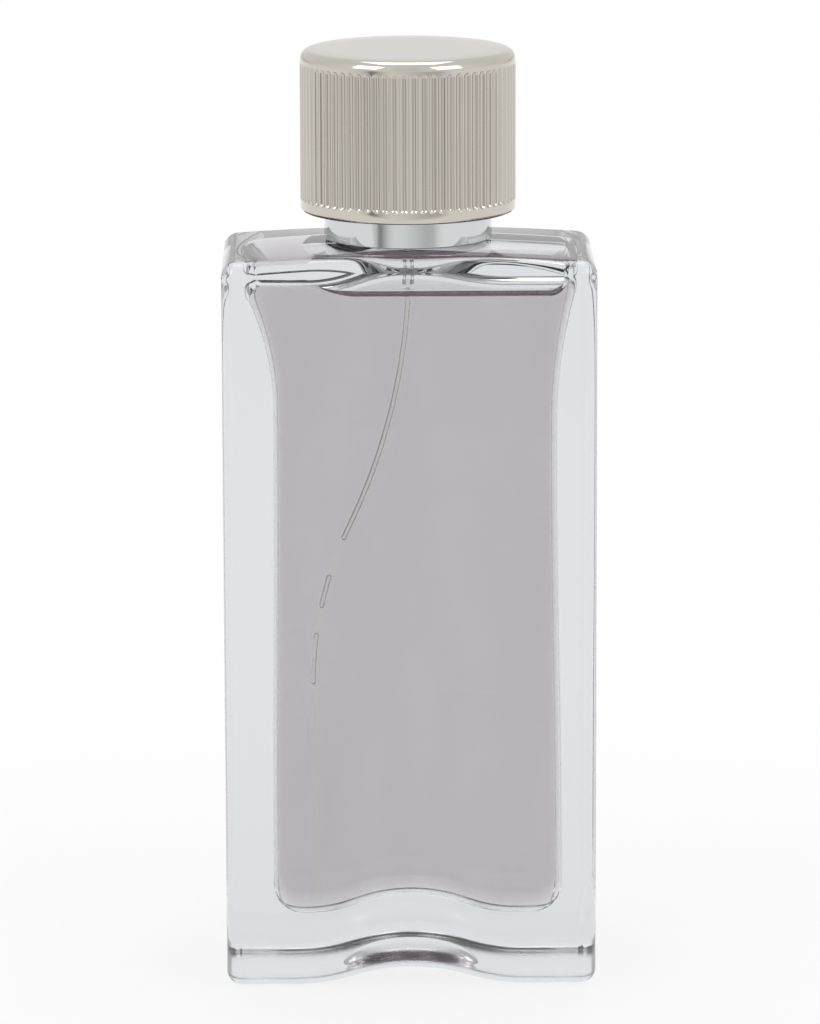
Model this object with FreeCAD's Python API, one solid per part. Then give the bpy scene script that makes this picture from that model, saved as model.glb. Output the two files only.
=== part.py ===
import FreeCAD, Part
import math
import os

from FreeCAD import Vector

os.makedirs("parts", exist_ok=True)

# All sizes are in millimetres and angles in degrees. The bottle stands on Z = 0, its broad faces
# look along Y, and the pump's axis is the Z axis.

# Glass body, outside
BODY_WIDTH = 48.0
BODY_DEPTH = 27.0
BODY_HEIGHT = 95.2
SHOULDER_RISE = 1.4
SHOULDER_CORNER_RADIUS = 2.1
FOOT_CORNER_RADIUS = 1.95
FACE_EDGE_RADIUS = 1.8
FOOT_WIDTH = 9.0
ARCH_RISE = 2.25

# Glass body, inside
FACE_WALL = 4.95
LEFT_WALL = 6.1
RIGHT_WALL = 4.3
LEFT_WAIST = 0.4
RIGHT_WAIST = 0.7
LEFT_WAIST_HEIGHT = 76.0
RIGHT_WAIST_HEIGHT = 74.0
LEFT_FLARE_RADIUS = 33.0
RIGHT_FLARE_RADIUS = 58.0
FLOOR_THICKNESS = 8.8
FLOOR_RISE = 2.65
FLOOR_FLAT = 0.5
FLOOR_CORNER_RADIUS = 4.0
CAVITY_EDGE_RADIUS = 2.4
CEILING_CORNER_RADIUS = 2.6
LEFT_SHOULDER_THICKNESS = 3.3
RIGHT_SHOULDER_THICKNESS = 2.2
CEILING_FLAT = 1.9
THROAT_RISE = 1.5

# Neck
NECK_HEIGHT = 6.8
NECK_BEAD_RADIUS = 7.4
NECK_BEAD_HEIGHT = 3.2
NECK_RELIEF_RADIUS = 6.3
NECK_BORE_RADIUS = 4.6
NECK_FLARE_RADIUS = 2.4
NECK_LAND_ROUND = 0.5

# Fill and dip tube
FILL_GAP_TO_SHOULDER = 4.6
FILL_CLEARANCE = 0.06
TUBE_RADIUS = 0.75
TUBE_BORE_RADIUS = 0.35
TUBE_UPPER_BEND_RADIUS = 72.0
TUBE_LOWER_BEND_RADIUS = 44.8
TUBE_BEND_ANGLE = 27.7
TUBE_BEND_START = 0.35
TUBE_HEADING = 20.0
TUBE_END_GAP = 0.9

# Pump
GASKET_THICKNESS = 0.7
FLANGE_THICKNESS = 1.1
FLANGE_RADIUS = 7.1
BARREL_WALL = 1.1
BARREL_TOP_HEIGHT = 1.5
BORE_RADIUS = 2.6
RETURN_SPRING_LENGTH = 4.6
RETURN_SPRING_TURNS = 4
RETURN_WIRE_RADIUS = 0.15
RETURN_COIL_RADIUS = 1.75
PRECOMPRESSION_SPRING_LENGTH = 1.7
PRECOMPRESSION_SPRING_TURNS = 2
PRECOMPRESSION_WIRE_RADIUS = 0.12
PRECOMPRESSION_COIL_RADIUS = 1.75
PISTON_HEIGHT = 1.8
PISTON_LIP = 0.5
STEM_RADIUS = 1.5
STEM_BORE_RADIUS = 0.55
STEM_LOWER_RADIUS = 1.05
STEM_SHOULDER_RADIUS = 2.2
STEM_SHOULDER_THICKNESS = 0.6
VALVE_HEAD_RADIUS = 1.9
VALVE_HEAD_THICKNESS = 0.8
VALVE_PILOT_RADIUS = 1.0
VALVE_PILOT_LENGTH = 0.4
CROSS_HOLE_RADIUS = 0.3
SEAL_THICKNESS = 0.35
TURRET_THICKNESS = 0.8
TURRET_GUIDE_RADIUS = 2.5
TURRET_GUIDE_HEIGHT = 0.5
BALL_RADIUS = 0.8
BALL_POCKET_RADIUS = 1.05
INLET_RADIUS = 0.35
TAIL_WALL = 0.55
TAIL_SOCKET_DEPTH = 1.6

# Ferrule and collar
FERRULE_SHEET = 0.4
FERRULE_CRIMP_DROP = 1.0
COLLAR_SHEET = 0.45
COLLAR_TOP_ROUND = 0.35
COLLAR_FOOT_GAP = 0.25
COLLAR_LIP_RADIUS = 7.3
CORE_DEPTH = 2.37
CORE_RING_WALL = 0.8
CORE_WEB = 0.9
CORE_RIB_COUNT = 8
CORE_RIB_WIDTH = 0.8

# Actuator
STROKE = 3.0
PRESS_CLEARANCE = 0.25
ACTUATOR_RADIUS = 6.5
ACTUATOR_HEIGHT = 6.0
ACTUATOR_SHEET = 0.35
ACTUATOR_TOP_ROUND = 0.55
ACTUATOR_RECESS_RADIUS = 4.5
ACTUATOR_SOCKET_DEPTH = 1.9
INSERT_RADIUS = 1.3
INSERT_DEPTH = 1.3
INSERT_ORIFICE_RADIUS = 0.18
INSERT_WINDOW_MARGIN = 0.15

# Cap
CAP_HEIGHT = 20.85
CAP_WALL = 0.95
CAP_TOP_THICKNESS = 0.8
CAP_TOP_ROUND = 0.85
CAP_FOOT_ROUND = 0.5
COLLAR_SHOW = 3.35
FLUTE_COUNT = 72
FLUTE_RADIUS = 0.62
FLUTE_DEPTH = 0.25
FLUTE_FOOT = 1.5
FLUTE_HEAD = 1.65
LINER_WALL = 0.9
LINER_FOOT_INSET = 0.6
LINER_FLANGE = 0.9
LINER_TOP_THICKNESS = 0.6
LINER_STOP_DEPTH = 0.6
LINER_STOP_COUNT = 6
LINER_STOP_WIDTH = 1.2
WEIGHT_HEIGHT = 7.0
WEIGHT_WALL = 1.0

# Clearances
FIT = 0.05
SEAT = 0.05
RUN = 0.04
CAP_FIT = 0.1

# Heights that follow from the sizes above
CROWN_Z = BODY_HEIGHT + SHOULDER_RISE
NECK_TOP_Z = CROWN_Z + NECK_HEIGHT
FLANGE_Z = NECK_TOP_Z + GASKET_THICKNESS
FLANGE_TOP_Z = FLANGE_Z + FLANGE_THICKNESS
PLATE_TOP_Z = FLANGE_TOP_Z + FERRULE_SHEET
COLLAR_FOOT_Z = CROWN_Z + COLLAR_FOOT_GAP
COLLAR_TOP_Z = PLATE_TOP_Z + SEAT + COLLAR_SHEET
BARREL_TOP_Z = FLANGE_TOP_Z + BARREL_TOP_HEIGHT
TURRET_TOP_Z = BARREL_TOP_Z + TURRET_THICKNESS
GUIDE_TOP_Z = TURRET_TOP_Z + TURRET_GUIDE_HEIGHT
SEAL_Z = BARREL_TOP_Z - SEAL_THICKNESS
STEM_SHOULDER_TOP_Z = SEAL_Z - SEAT
STEM_SHOULDER_Z = STEM_SHOULDER_TOP_Z - STEM_SHOULDER_THICKNESS
PISTON_TOP_Z = STEM_SHOULDER_Z - PRECOMPRESSION_SPRING_LENGTH
PISTON_Z = PISTON_TOP_Z - PISTON_HEIGHT
VALVE_HEAD_TOP_Z = PISTON_Z - SEAT
VALVE_HEAD_Z = VALVE_HEAD_TOP_Z - VALVE_HEAD_THICKNESS
CHAMBER_Z = VALVE_HEAD_Z - RETURN_SPRING_LENGTH
BALL_SEAT_Z = CHAMBER_Z - BALL_RADIUS - INLET_RADIUS
BALL_Z = BALL_SEAT_Z - INLET_RADIUS + math.sqrt(2.0) * (BALL_RADIUS + SEAT)
SOCKET_TOP_Z = BALL_SEAT_Z - INLET_RADIUS
TAIL_Z = SOCKET_TOP_Z - TAIL_SOCKET_DEPTH
FILL_Z = BODY_HEIGHT - FILL_GAP_TO_SHOULDER
ACTUATOR_Z = COLLAR_TOP_Z + STROKE + PRESS_CLEARANCE
ACTUATOR_TOP_Z = ACTUATOR_Z + ACTUATOR_HEIGHT
RECESS_TOP_Z = GUIDE_TOP_Z + STROKE + PRESS_CLEARANCE
STEM_TOP_Z = RECESS_TOP_Z + ACTUATOR_SOCKET_DEPTH
CAP_Z = COLLAR_FOOT_Z + COLLAR_SHOW
CAP_TOP_Z = CAP_Z + CAP_HEIGHT
LINER_TOP_Z = CAP_TOP_Z - CAP_TOP_THICKNESS - SEAT

# Spans that follow from the sizes above
HALF_WIDTH = BODY_WIDTH / 2.0
ARCH_HALF_SPAN = HALF_WIDTH - FOOT_WIDTH
FLOOR_HALF_SPAN = HALF_WIDTH - max(LEFT_WALL, RIGHT_WALL) - FLOOR_CORNER_RADIUS - FLOOR_FLAT
WAIST_WALL = max(LEFT_WALL + LEFT_WAIST, RIGHT_WALL + RIGHT_WAIST)
THROAT_HALF_SPAN = HALF_WIDTH - WAIST_WALL - CEILING_CORNER_RADIUS - CEILING_FLAT

# Radii that follow from the sizes above
BARREL_RADIUS = BORE_RADIUS + BARREL_WALL
TAIL_RADIUS = TUBE_RADIUS + FIT + TAIL_WALL
FERRULE_BORE = NECK_BEAD_RADIUS + 2.0 * FIT
FERRULE_RADIUS = FERRULE_BORE + FERRULE_SHEET
TOWER_BORE = BARREL_RADIUS + FIT
TOWER_RADIUS = TOWER_BORE + FERRULE_SHEET
COLLAR_RADIUS = FERRULE_RADIUS + FIT + CORE_DEPTH + FIT + COLLAR_SHEET
LINER_BORE = COLLAR_RADIUS + CAP_FIT
LINER_RADIUS = LINER_BORE + LINER_WALL
CAP_BORE = LINER_RADIUS + FIT + WEIGHT_WALL + FIT
CAP_RADIUS = CAP_BORE + CAP_WALL
BUTTON_RADIUS = ACTUATOR_RADIUS - ACTUATOR_SHEET - FIT
INSERT_Z = STEM_TOP_Z

Z_AXIS = Vector(0, 0, 1)
ORIGIN = Vector(0, 0, 0)
MATCH = 1e-4


def point(x, z):
    """Point of a front outline."""
    return Vector(x, 0, z)


def line(start, end):
    """Straight edge between two points."""
    return Part.LineSegment(start, end).toShape()


def arc_about(centre, start, end):
    """Arc of under half a circle from start to end about a centre."""
    toward = (start - centre) + (end - centre)
    toward.normalize()
    middle = centre + toward * (start - centre).Length
    return Part.Arc(start, middle, end).toShape()


def swell(start, end, upright=False):
    """Two equal tangent arcs between points, level (or upright) at both ends."""
    run = end.z - start.z if upright else end.x - start.x
    rise = end.x - start.x if upright else end.z - start.z
    radius = (run * run + rise * rise) / (4.0 * abs(rise))
    half = 0.5 * math.asin(abs(run) / (2.0 * radius))
    along = math.copysign(radius * math.sin(half), run)
    across = math.copysign(radius * (1.0 - math.cos(half)), rise)
    step = Vector(across, 0, along) if upright else Vector(along, 0, across)
    middle = (start + end) * 0.5
    return [Part.Arc(start, start + step, middle).toShape(), Part.Arc(middle, end - step, end).toShape()]


def turned(outline):
    """Solid of revolution about Z from (radius, height) corners."""
    corners = [point(radius, height) for radius, height in outline]
    face = Part.Face(Part.makePolygon(corners + corners[:1]))
    return face.revolve(ORIGIN, Z_AXIS, 360)


def ring(inner, outer, low, high):
    """Plain ring about Z."""
    return turned([(inner, low), (outer, low), (outer, high), (inner, high)])


def rounded(shape, radius, places):
    """Round the circular edges that lie at the given (radius, height) places."""
    edges = []
    for edge in shape.Edges:
        if not isinstance(edge.Curve, Part.Circle):
            continue
        for edge_radius, height in places:
            same_radius = abs(edge.Curve.Radius - edge_radius) < MATCH
            if same_radius and abs(edge.Curve.Center.z - height) < MATCH:
                edges.append(edge)
    return shape.makeFillet(radius, edges)


def slab(outline, half_depth, edge_radius):
    """Front outline drawn out to a depth, with its front and back edges rounded."""
    face = Part.Face(Part.Wire(Part.__sortEdges__(outline)))
    face.translate(Vector(0, -half_depth, 0))
    solid = face.extrude(Vector(0, 2.0 * half_depth, 0))
    edges = []
    for edge in solid.Edges:
        box = edge.BoundBox
        if box.YLength < MATCH and abs(abs(box.YMin) - half_depth) < MATCH:
            edges.append(edge)
    return solid.makeFillet(edge_radius, edges)


def body_outline():
    """Front outline of the glass: arched foot, upright sides and domed shoulder."""
    half = HALF_WIDTH
    crown_radius = (half * half + SHOULDER_RISE * SHOULDER_RISE) / (2.0 * SHOULDER_RISE)
    crown_centre = point(0, CROWN_Z - crown_radius)
    corner_x = half - SHOULDER_CORNER_RADIUS
    corner_z = crown_centre.z + math.sqrt((crown_radius - SHOULDER_CORNER_RADIUS) ** 2 - corner_x ** 2)
    reach = crown_radius / (crown_radius - SHOULDER_CORNER_RADIUS)
    top_x = corner_x * reach
    top_z = crown_centre.z + (corner_z - crown_centre.z) * reach
    foot_x = half - FOOT_CORNER_RADIUS
    arch_top = point(0, ARCH_RISE)
    edges = swell(point(-ARCH_HALF_SPAN, 0), arch_top)
    edges += swell(arch_top, point(ARCH_HALF_SPAN, 0))
    edges.append(Part.Arc(point(top_x, top_z), point(0, CROWN_Z), point(-top_x, top_z)).toShape())
    for side in (-1, 1):
        edges.append(line(point(side * ARCH_HALF_SPAN, 0), point(side * foot_x, 0)))
        foot_end = point(side * half, FOOT_CORNER_RADIUS)
        edges.append(arc_about(point(side * foot_x, FOOT_CORNER_RADIUS), point(side * foot_x, 0), foot_end))
        side_end = point(side * half, corner_z)
        edges.append(line(foot_end, side_end))
        edges.append(arc_about(point(side * corner_x, corner_z), side_end, point(side * top_x, top_z)))
    return edges


def wall_outline(side, wall, waist, waist_z, flare_radius, ceiling_z, inset):
    """One inner side wall, from the low floor up to the ceiling."""
    foot_half = HALF_WIDTH - wall - inset
    corner = FLOOR_CORNER_RADIUS - inset
    top_corner = CEILING_CORNER_RADIUS - inset
    floor_z = FLOOR_THICKNESS + inset
    waist_half = foot_half - waist
    flare = flare_radius + inset
    top_z = ceiling_z - inset
    climb = (top_z - top_corner - waist_z) / (flare + top_corner)
    lean = math.asin(climb)
    flare_centre = point(side * (waist_half + flare), waist_z)
    flare_end = point(side * (waist_half + flare * (1.0 - math.cos(lean))), waist_z + flare * climb)
    corner_x = waist_half + flare - (flare + top_corner) * math.cos(lean)
    corner_centre = point(side * corner_x, top_z - top_corner)
    corner_end = point(side * corner_x, top_z)
    floor_start = point(side * (foot_half - corner), floor_z)
    floor_end = point(side * foot_half, floor_z + corner)
    waist_point = point(side * waist_half, waist_z)
    edges = [arc_about(point(side * (foot_half - corner), floor_z + corner), floor_start, floor_end)]
    edges += swell(floor_end, waist_point, upright=True)
    edges.append(arc_about(flare_centre, waist_point, flare_end))
    edges.append(arc_about(corner_centre, flare_end, corner_end))
    return edges, floor_start, corner_end


def cavity(inset=0.0):
    """Space inside the glass below the neck, drawn in all round by the inset."""
    left_z = BODY_HEIGHT - LEFT_SHOULDER_THICKNESS
    right_z = BODY_HEIGHT - RIGHT_SHOULDER_THICKNESS
    left = wall_outline(-1, LEFT_WALL, LEFT_WAIST, LEFT_WAIST_HEIGHT, LEFT_FLARE_RADIUS, left_z, inset)
    right = wall_outline(1, RIGHT_WALL, RIGHT_WAIST, RIGHT_WAIST_HEIGHT, RIGHT_FLARE_RADIUS, right_z, inset)
    edges = left[0] + right[0]
    hump = point(0, FLOOR_THICKNESS + FLOOR_RISE + inset)
    throat = point(0, right_z + THROAT_RISE - inset)
    for side, floor_end, ceiling_end in ((-1, left[1], left[2]), (1, right[1], right[2])):
        floor_turn = point(side * FLOOR_HALF_SPAN, floor_end.z)
        ceiling_turn = point(side * THROAT_HALF_SPAN, ceiling_end.z)
        edges.append(line(floor_end, floor_turn))
        edges += swell(floor_turn, hump)
        edges.append(line(ceiling_end, ceiling_turn))
        edges += swell(ceiling_turn, throat)
    return slab(edges, BODY_DEPTH / 2.0 - FACE_WALL - inset, CAVITY_EDGE_RADIUS - inset)


def neck_bore():
    """Bore of the neck, opening out into the cavity."""
    low = BODY_HEIGHT - RIGHT_SHOULDER_THICKNESS
    flare_top = point(NECK_BORE_RADIUS, low + NECK_FLARE_RADIUS)
    flare_foot = point(NECK_BORE_RADIUS + NECK_FLARE_RADIUS, low)
    flare = arc_about(point(flare_foot.x, flare_top.z), flare_foot, flare_top)
    top = point(NECK_BORE_RADIUS, NECK_TOP_Z + 1.0)
    edges = [flare, line(flare_top, top), line(top, point(0, top.z))]
    edges += [line(point(0, top.z), point(0, low)), line(point(0, low), flare_foot)]
    return Part.Face(Part.Wire(Part.__sortEdges__(edges))).revolve(ORIGIN, Z_AXIS, 360)


def make_glass_bottle():
    """Glass body with its neck, inner space and bore."""
    body = slab(body_outline(), BODY_DEPTH / 2.0, FACE_EDGE_RADIUS)
    bead_z = NECK_TOP_Z - NECK_BEAD_HEIGHT
    step = NECK_BEAD_RADIUS - NECK_RELIEF_RADIUS
    root_z = BODY_HEIGHT - RIGHT_SHOULDER_THICKNESS + NECK_FLARE_RADIUS
    neck = turned([
        (0, root_z), (NECK_RELIEF_RADIUS, root_z), (NECK_RELIEF_RADIUS, bead_z - step),
        (NECK_BEAD_RADIUS, bead_z), (NECK_BEAD_RADIUS, NECK_TOP_Z), (0, NECK_TOP_Z),
    ])
    neck = rounded(neck, NECK_LAND_ROUND, [(NECK_BEAD_RADIUS, NECK_TOP_Z)])
    return body.fuse(neck).cut(cavity().fuse(neck_bore())).removeSplitter()


def tube_route():
    """Dip tube's centre line: straight, two opposite bends, straight down to the floor."""
    turn = math.radians(TUBE_BEND_ANGLE)
    start_z = SOCKET_TOP_Z
    bend_z = TAIL_Z - TUBE_BEND_START
    upper_centre = point(-TUBE_UPPER_BEND_RADIUS, bend_z)
    upper_x = -TUBE_UPPER_BEND_RADIUS * (1.0 - math.cos(turn))
    upper_z = bend_z - TUBE_UPPER_BEND_RADIUS * math.sin(turn)
    lower_x = upper_x - TUBE_LOWER_BEND_RADIUS * (1.0 - math.cos(turn))
    lower_z = upper_z - TUBE_LOWER_BEND_RADIUS * math.sin(turn)
    lower_centre = point(lower_x + TUBE_LOWER_BEND_RADIUS, lower_z)
    bend_start = point(0, bend_z)
    joint = point(upper_x, upper_z)
    bend_end = point(lower_x, lower_z)
    edges = [
        line(point(0, start_z), bend_start),
        arc_about(upper_centre, bend_start, joint),
        arc_about(lower_centre, joint, bend_end),
        line(bend_end, point(lower_x, FLOOR_THICKNESS + TUBE_END_GAP)),
    ]
    route = Part.Wire(edges)
    route.rotate(ORIGIN, Z_AXIS, TUBE_HEADING)
    return route


def tube_solid(radius):
    """Round rod along the dip tube's route."""
    route = tube_route()
    section = Part.Wire(Part.makeCircle(radius, Vector(0, 0, SOCKET_TOP_Z), Z_AXIS))
    return route.makePipeShell([section], True, False)


def make_dip_tube():
    """Dip tube with its bore."""
    return tube_solid(TUBE_RADIUS).cut(tube_solid(TUBE_BORE_RADIUS))


def make_aftershave_liquid():
    """Fill of the cavity up to the fill line, round the dip tube."""
    fill = cavity(FILL_CLEARANCE)
    above = Part.makeBox(BODY_WIDTH, BODY_DEPTH, BODY_HEIGHT)
    above.translate(Vector(-HALF_WIDTH, -BODY_DEPTH / 2.0, FILL_Z))
    return fill.cut(above).cut(tube_solid(TUBE_RADIUS + FILL_CLEARANCE))


def make_pump_housing():
    """Pump barrel with flange, bore, ball seat and tail socket."""
    barrel_z = CHAMBER_Z - BARREL_WALL
    socket = TUBE_RADIUS + FIT
    seat_top = BALL_SEAT_Z + BALL_POCKET_RADIUS - INLET_RADIUS
    return turned([
        (socket, TAIL_Z), (TAIL_RADIUS, TAIL_Z), (TAIL_RADIUS, barrel_z), (BARREL_RADIUS, barrel_z),
        (BARREL_RADIUS, FLANGE_Z), (FLANGE_RADIUS, FLANGE_Z), (FLANGE_RADIUS, FLANGE_TOP_Z),
        (BARREL_RADIUS, FLANGE_TOP_Z), (BARREL_RADIUS, BARREL_TOP_Z), (BORE_RADIUS, BARREL_TOP_Z),
        (BORE_RADIUS, CHAMBER_Z), (BALL_POCKET_RADIUS, CHAMBER_Z), (BALL_POCKET_RADIUS, seat_top),
        (INLET_RADIUS, BALL_SEAT_Z), (INLET_RADIUS, SOCKET_TOP_Z), (socket, SOCKET_TOP_Z),
    ])


def make_inlet_ball():
    """Check ball on its seat."""
    return Part.makeSphere(BALL_RADIUS, Vector(0, 0, BALL_Z))


def tangent_arcs(start, start_way, end, end_way):
    """Two arcs in space that leave and arrive along the given directions."""
    span = end - start
    both = start_way + end_way
    square = 2.0 * start_way.dot(end_way) - 2.0
    cross = -2.0 * span.dot(both)
    reach = (-cross - math.sqrt(cross * cross - 4.0 * square * span.dot(span))) / (2.0 * square)
    first = start + start_way * reach
    second = end - end_way * reach
    joint = (first + second) * 0.5
    edges = []
    for near, apex, far in ((start, first, joint), (joint, second, end)):
        chord = (near + far) * 0.5
        to_apex = apex - chord
        half_turn = math.atan2(to_apex.Length, (far - near).Length / 2.0)
        radius = reach / math.tan(half_turn)
        to_apex.normalize()
        edges.append(Part.Arc(near, chord + to_apex * (radius * (1.0 - math.cos(half_turn))), far).toShape())
    return edges


def make_spring(name, low, length, turns, coil_radius, wire_radius):
    """Round-wire coil spring standing between two flat seats."""
    bottom = low + wire_radius + SEAT
    rise = length - 2.0 * (wire_radius + SEAT)
    slope = rise / (turns * 2.0 * math.pi)
    speed = math.hypot(coil_radius, slope)

    def place(angle):
        return Vector(coil_radius * math.cos(angle), coil_radius * math.sin(angle), bottom + slope * angle)

    def way(angle):
        return Vector(-coil_radius * math.sin(angle), coil_radius * math.cos(angle), slope) * (1.0 / speed)

    edges = []
    for quarter in range(4 * turns):
        begin = quarter * math.pi / 2.0
        end = begin + math.pi / 2.0
        edges += tangent_arcs(place(begin), way(begin), place(end), way(end))
    section = Part.Wire(Part.makeCircle(wire_radius, place(0), way(0)))
    steps = [place(turns * math.pi * step / 180.0) for step in range(361)]
    per_turn = 360 // turns
    gap = min((steps[i] - steps[j]).Length for i in range(361) for j in range(i + per_turn // 2, 361))
    print(name, "least gap between turns", round(gap - 2.0 * wire_radius, 3), "mm")
    return Part.Wire(edges).makePipeShell([section], True, False)


def make_piston():
    """Piston ring with a sealing lip at each end, free on the stem's lower part."""
    outer = BORE_RADIUS - RUN
    inner = STEM_LOWER_RADIUS + RUN
    waist = outer - PISTON_LIP / 2.0
    return turned([
        (inner, PISTON_Z), (outer, PISTON_Z), (outer, PISTON_Z + PISTON_LIP / 2.0),
        (waist, PISTON_Z + PISTON_LIP), (waist, PISTON_TOP_Z - PISTON_LIP),
        (outer, PISTON_TOP_Z - PISTON_LIP / 2.0), (outer, PISTON_TOP_Z), (inner, PISTON_TOP_Z),
    ])


def make_pump_stem():
    """Hollow stem with shoulder, cross holes and valve head."""
    pilot_z = VALVE_HEAD_Z - VALVE_PILOT_LENGTH
    hole_z = VALVE_HEAD_TOP_Z + PISTON_HEIGHT / 2.0
    stem = turned([
        (0, pilot_z), (VALVE_PILOT_RADIUS, pilot_z), (VALVE_PILOT_RADIUS, VALVE_HEAD_Z),
        (VALVE_HEAD_RADIUS, VALVE_HEAD_Z), (VALVE_HEAD_RADIUS, VALVE_HEAD_TOP_Z),
        (STEM_LOWER_RADIUS, VALVE_HEAD_TOP_Z), (STEM_LOWER_RADIUS, STEM_SHOULDER_Z),
        (STEM_SHOULDER_RADIUS, STEM_SHOULDER_Z), (STEM_SHOULDER_RADIUS, STEM_SHOULDER_TOP_Z),
        (STEM_RADIUS, STEM_SHOULDER_TOP_Z), (STEM_RADIUS, STEM_TOP_Z), (STEM_BORE_RADIUS, STEM_TOP_Z),
        (STEM_BORE_RADIUS, hole_z - CROSS_HOLE_RADIUS), (0, hole_z - CROSS_HOLE_RADIUS),
    ])
    reach = 2.0 * STEM_LOWER_RADIUS
    hole = Part.makeCylinder(CROSS_HOLE_RADIUS, 2.0 * reach, Vector(-reach, 0, hole_z), Vector(1, 0, 0))
    return stem.cut(hole)


def make_stem_seal():
    """Seal ring under the turret."""
    return ring(STEM_RADIUS + RUN, BORE_RADIUS - FIT, SEAL_Z, BARREL_TOP_Z)


def make_pump_turret():
    """Stem guide that closes the barrel."""
    bore = STEM_RADIUS + RUN
    return turned([
        (bore, BARREL_TOP_Z), (BARREL_RADIUS, BARREL_TOP_Z), (BARREL_RADIUS, TURRET_TOP_Z),
        (TURRET_GUIDE_RADIUS, TURRET_TOP_Z), (TURRET_GUIDE_RADIUS, GUIDE_TOP_Z), (bore, GUIDE_TOP_Z),
    ])


def make_neck_gasket():
    """Sealing ring between neck land and flange."""
    return ring(BARREL_RADIUS + 2.0 * FIT, FLANGE_RADIUS, NECK_TOP_Z, FLANGE_Z)


def make_crimp_ferrule():
    """Crimped sheet cup: tower, plate, skirt and the turned-in edge under the bead."""
    tower_top = TURRET_TOP_Z + SEAT
    hole = TURRET_GUIDE_RADIUS + FIT
    crimp_z = NECK_TOP_Z - NECK_BEAD_HEIGHT - FERRULE_CRIMP_DROP
    crimp_bore = NECK_RELIEF_RADIUS + 2.0 * FIT
    drop = FERRULE_BORE - crimp_bore
    return turned([
        (hole, tower_top), (TOWER_BORE, tower_top), (TOWER_BORE, FLANGE_TOP_Z), (FERRULE_BORE, FLANGE_TOP_Z),
        (FERRULE_BORE, crimp_z + drop), (crimp_bore, crimp_z), (crimp_bore, crimp_z - FERRULE_SHEET),
        (FERRULE_RADIUS, crimp_z + drop), (FERRULE_RADIUS, PLATE_TOP_Z), (TOWER_RADIUS, PLATE_TOP_Z),
        (TOWER_RADIUS, tower_top + FERRULE_SHEET), (hole, tower_top + FERRULE_SHEET),
    ])


def make_collar_core():
    """Moulded ring between ferrule and collar sleeve, ribbed underneath."""
    inner = FERRULE_RADIUS + FIT
    outer = COLLAR_RADIUS - COLLAR_SHEET - FIT
    top = PLATE_TOP_Z
    web_z = top - CORE_WEB
    foot = COLLAR_FOOT_Z
    core = turned([
        (inner, foot), (inner + CORE_RING_WALL, foot), (inner + CORE_RING_WALL, web_z),
        (outer - CORE_RING_WALL, web_z), (outer - CORE_RING_WALL, foot), (outer, foot),
        (outer, top), (inner, top),
    ])
    middle = inner + CORE_RING_WALL / 2.0
    rib = Part.makeBox(outer - CORE_RING_WALL / 2.0 - middle, CORE_RIB_WIDTH, top - foot)
    rib.translate(Vector(middle, -CORE_RIB_WIDTH / 2.0, foot))
    ribs = []
    for index in range(CORE_RIB_COUNT):
        turned_rib = rib.copy()
        turned_rib.rotate(ORIGIN, Z_AXIS, index * 360.0 / CORE_RIB_COUNT)
        ribs.append(turned_rib)
    return core.multiFuse(ribs).removeSplitter()


def make_collar_sleeve():
    """Bright sleeve of the collar with its turned-in top."""
    inner = COLLAR_RADIUS - COLLAR_SHEET
    lip_z = PLATE_TOP_Z + SEAT
    sleeve = turned([
        (inner, COLLAR_FOOT_Z), (COLLAR_RADIUS, COLLAR_FOOT_Z), (COLLAR_RADIUS, COLLAR_TOP_Z),
        (COLLAR_LIP_RADIUS, COLLAR_TOP_Z), (COLLAR_LIP_RADIUS, lip_z), (inner, lip_z),
    ])
    return rounded(sleeve, COLLAR_TOP_ROUND, [(COLLAR_RADIUS, COLLAR_TOP_Z)])


def side_hole(radius, inner, outer):
    """Round bar along -Y at the nozzle's height."""
    return Part.makeCylinder(radius, outer - inner, Vector(0, -inner, INSERT_Z), Vector(0, -1, 0))


def make_actuator_button():
    """Moulded button with stem socket, spray channel and nozzle pocket."""
    socket = STEM_RADIUS + RUN
    top = ACTUATOR_TOP_Z - ACTUATOR_SHEET - FIT
    boss = STEM_RADIUS + 2.0 * STEM_BORE_RADIUS
    button = turned([
        (socket, RECESS_TOP_Z), (ACTUATOR_RECESS_RADIUS, RECESS_TOP_Z), (ACTUATOR_RECESS_RADIUS, ACTUATOR_Z),
        (BUTTON_RADIUS, ACTUATOR_Z), (BUTTON_RADIUS, top), (0, top), (0, STEM_TOP_Z + STEM_BORE_RADIUS),
        (boss / 2.0, STEM_TOP_Z + STEM_BORE_RADIUS), (boss / 2.0, STEM_TOP_Z + SEAT), (socket, STEM_TOP_Z + SEAT),
    ])
    button = rounded(button, ACTUATOR_TOP_ROUND - ACTUATOR_SHEET - FIT, [(BUTTON_RADIUS, top)])
    pocket = side_hole(INSERT_RADIUS + FIT, BUTTON_RADIUS - INSERT_DEPTH, ACTUATOR_RADIUS + 1.0)
    channel = side_hole(STEM_BORE_RADIUS, 0.0, BUTTON_RADIUS)
    channel.translate(Vector(0, 0, SEAT + STEM_BORE_RADIUS / 2.0))
    return button.cut(pocket).cut(channel)


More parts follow.
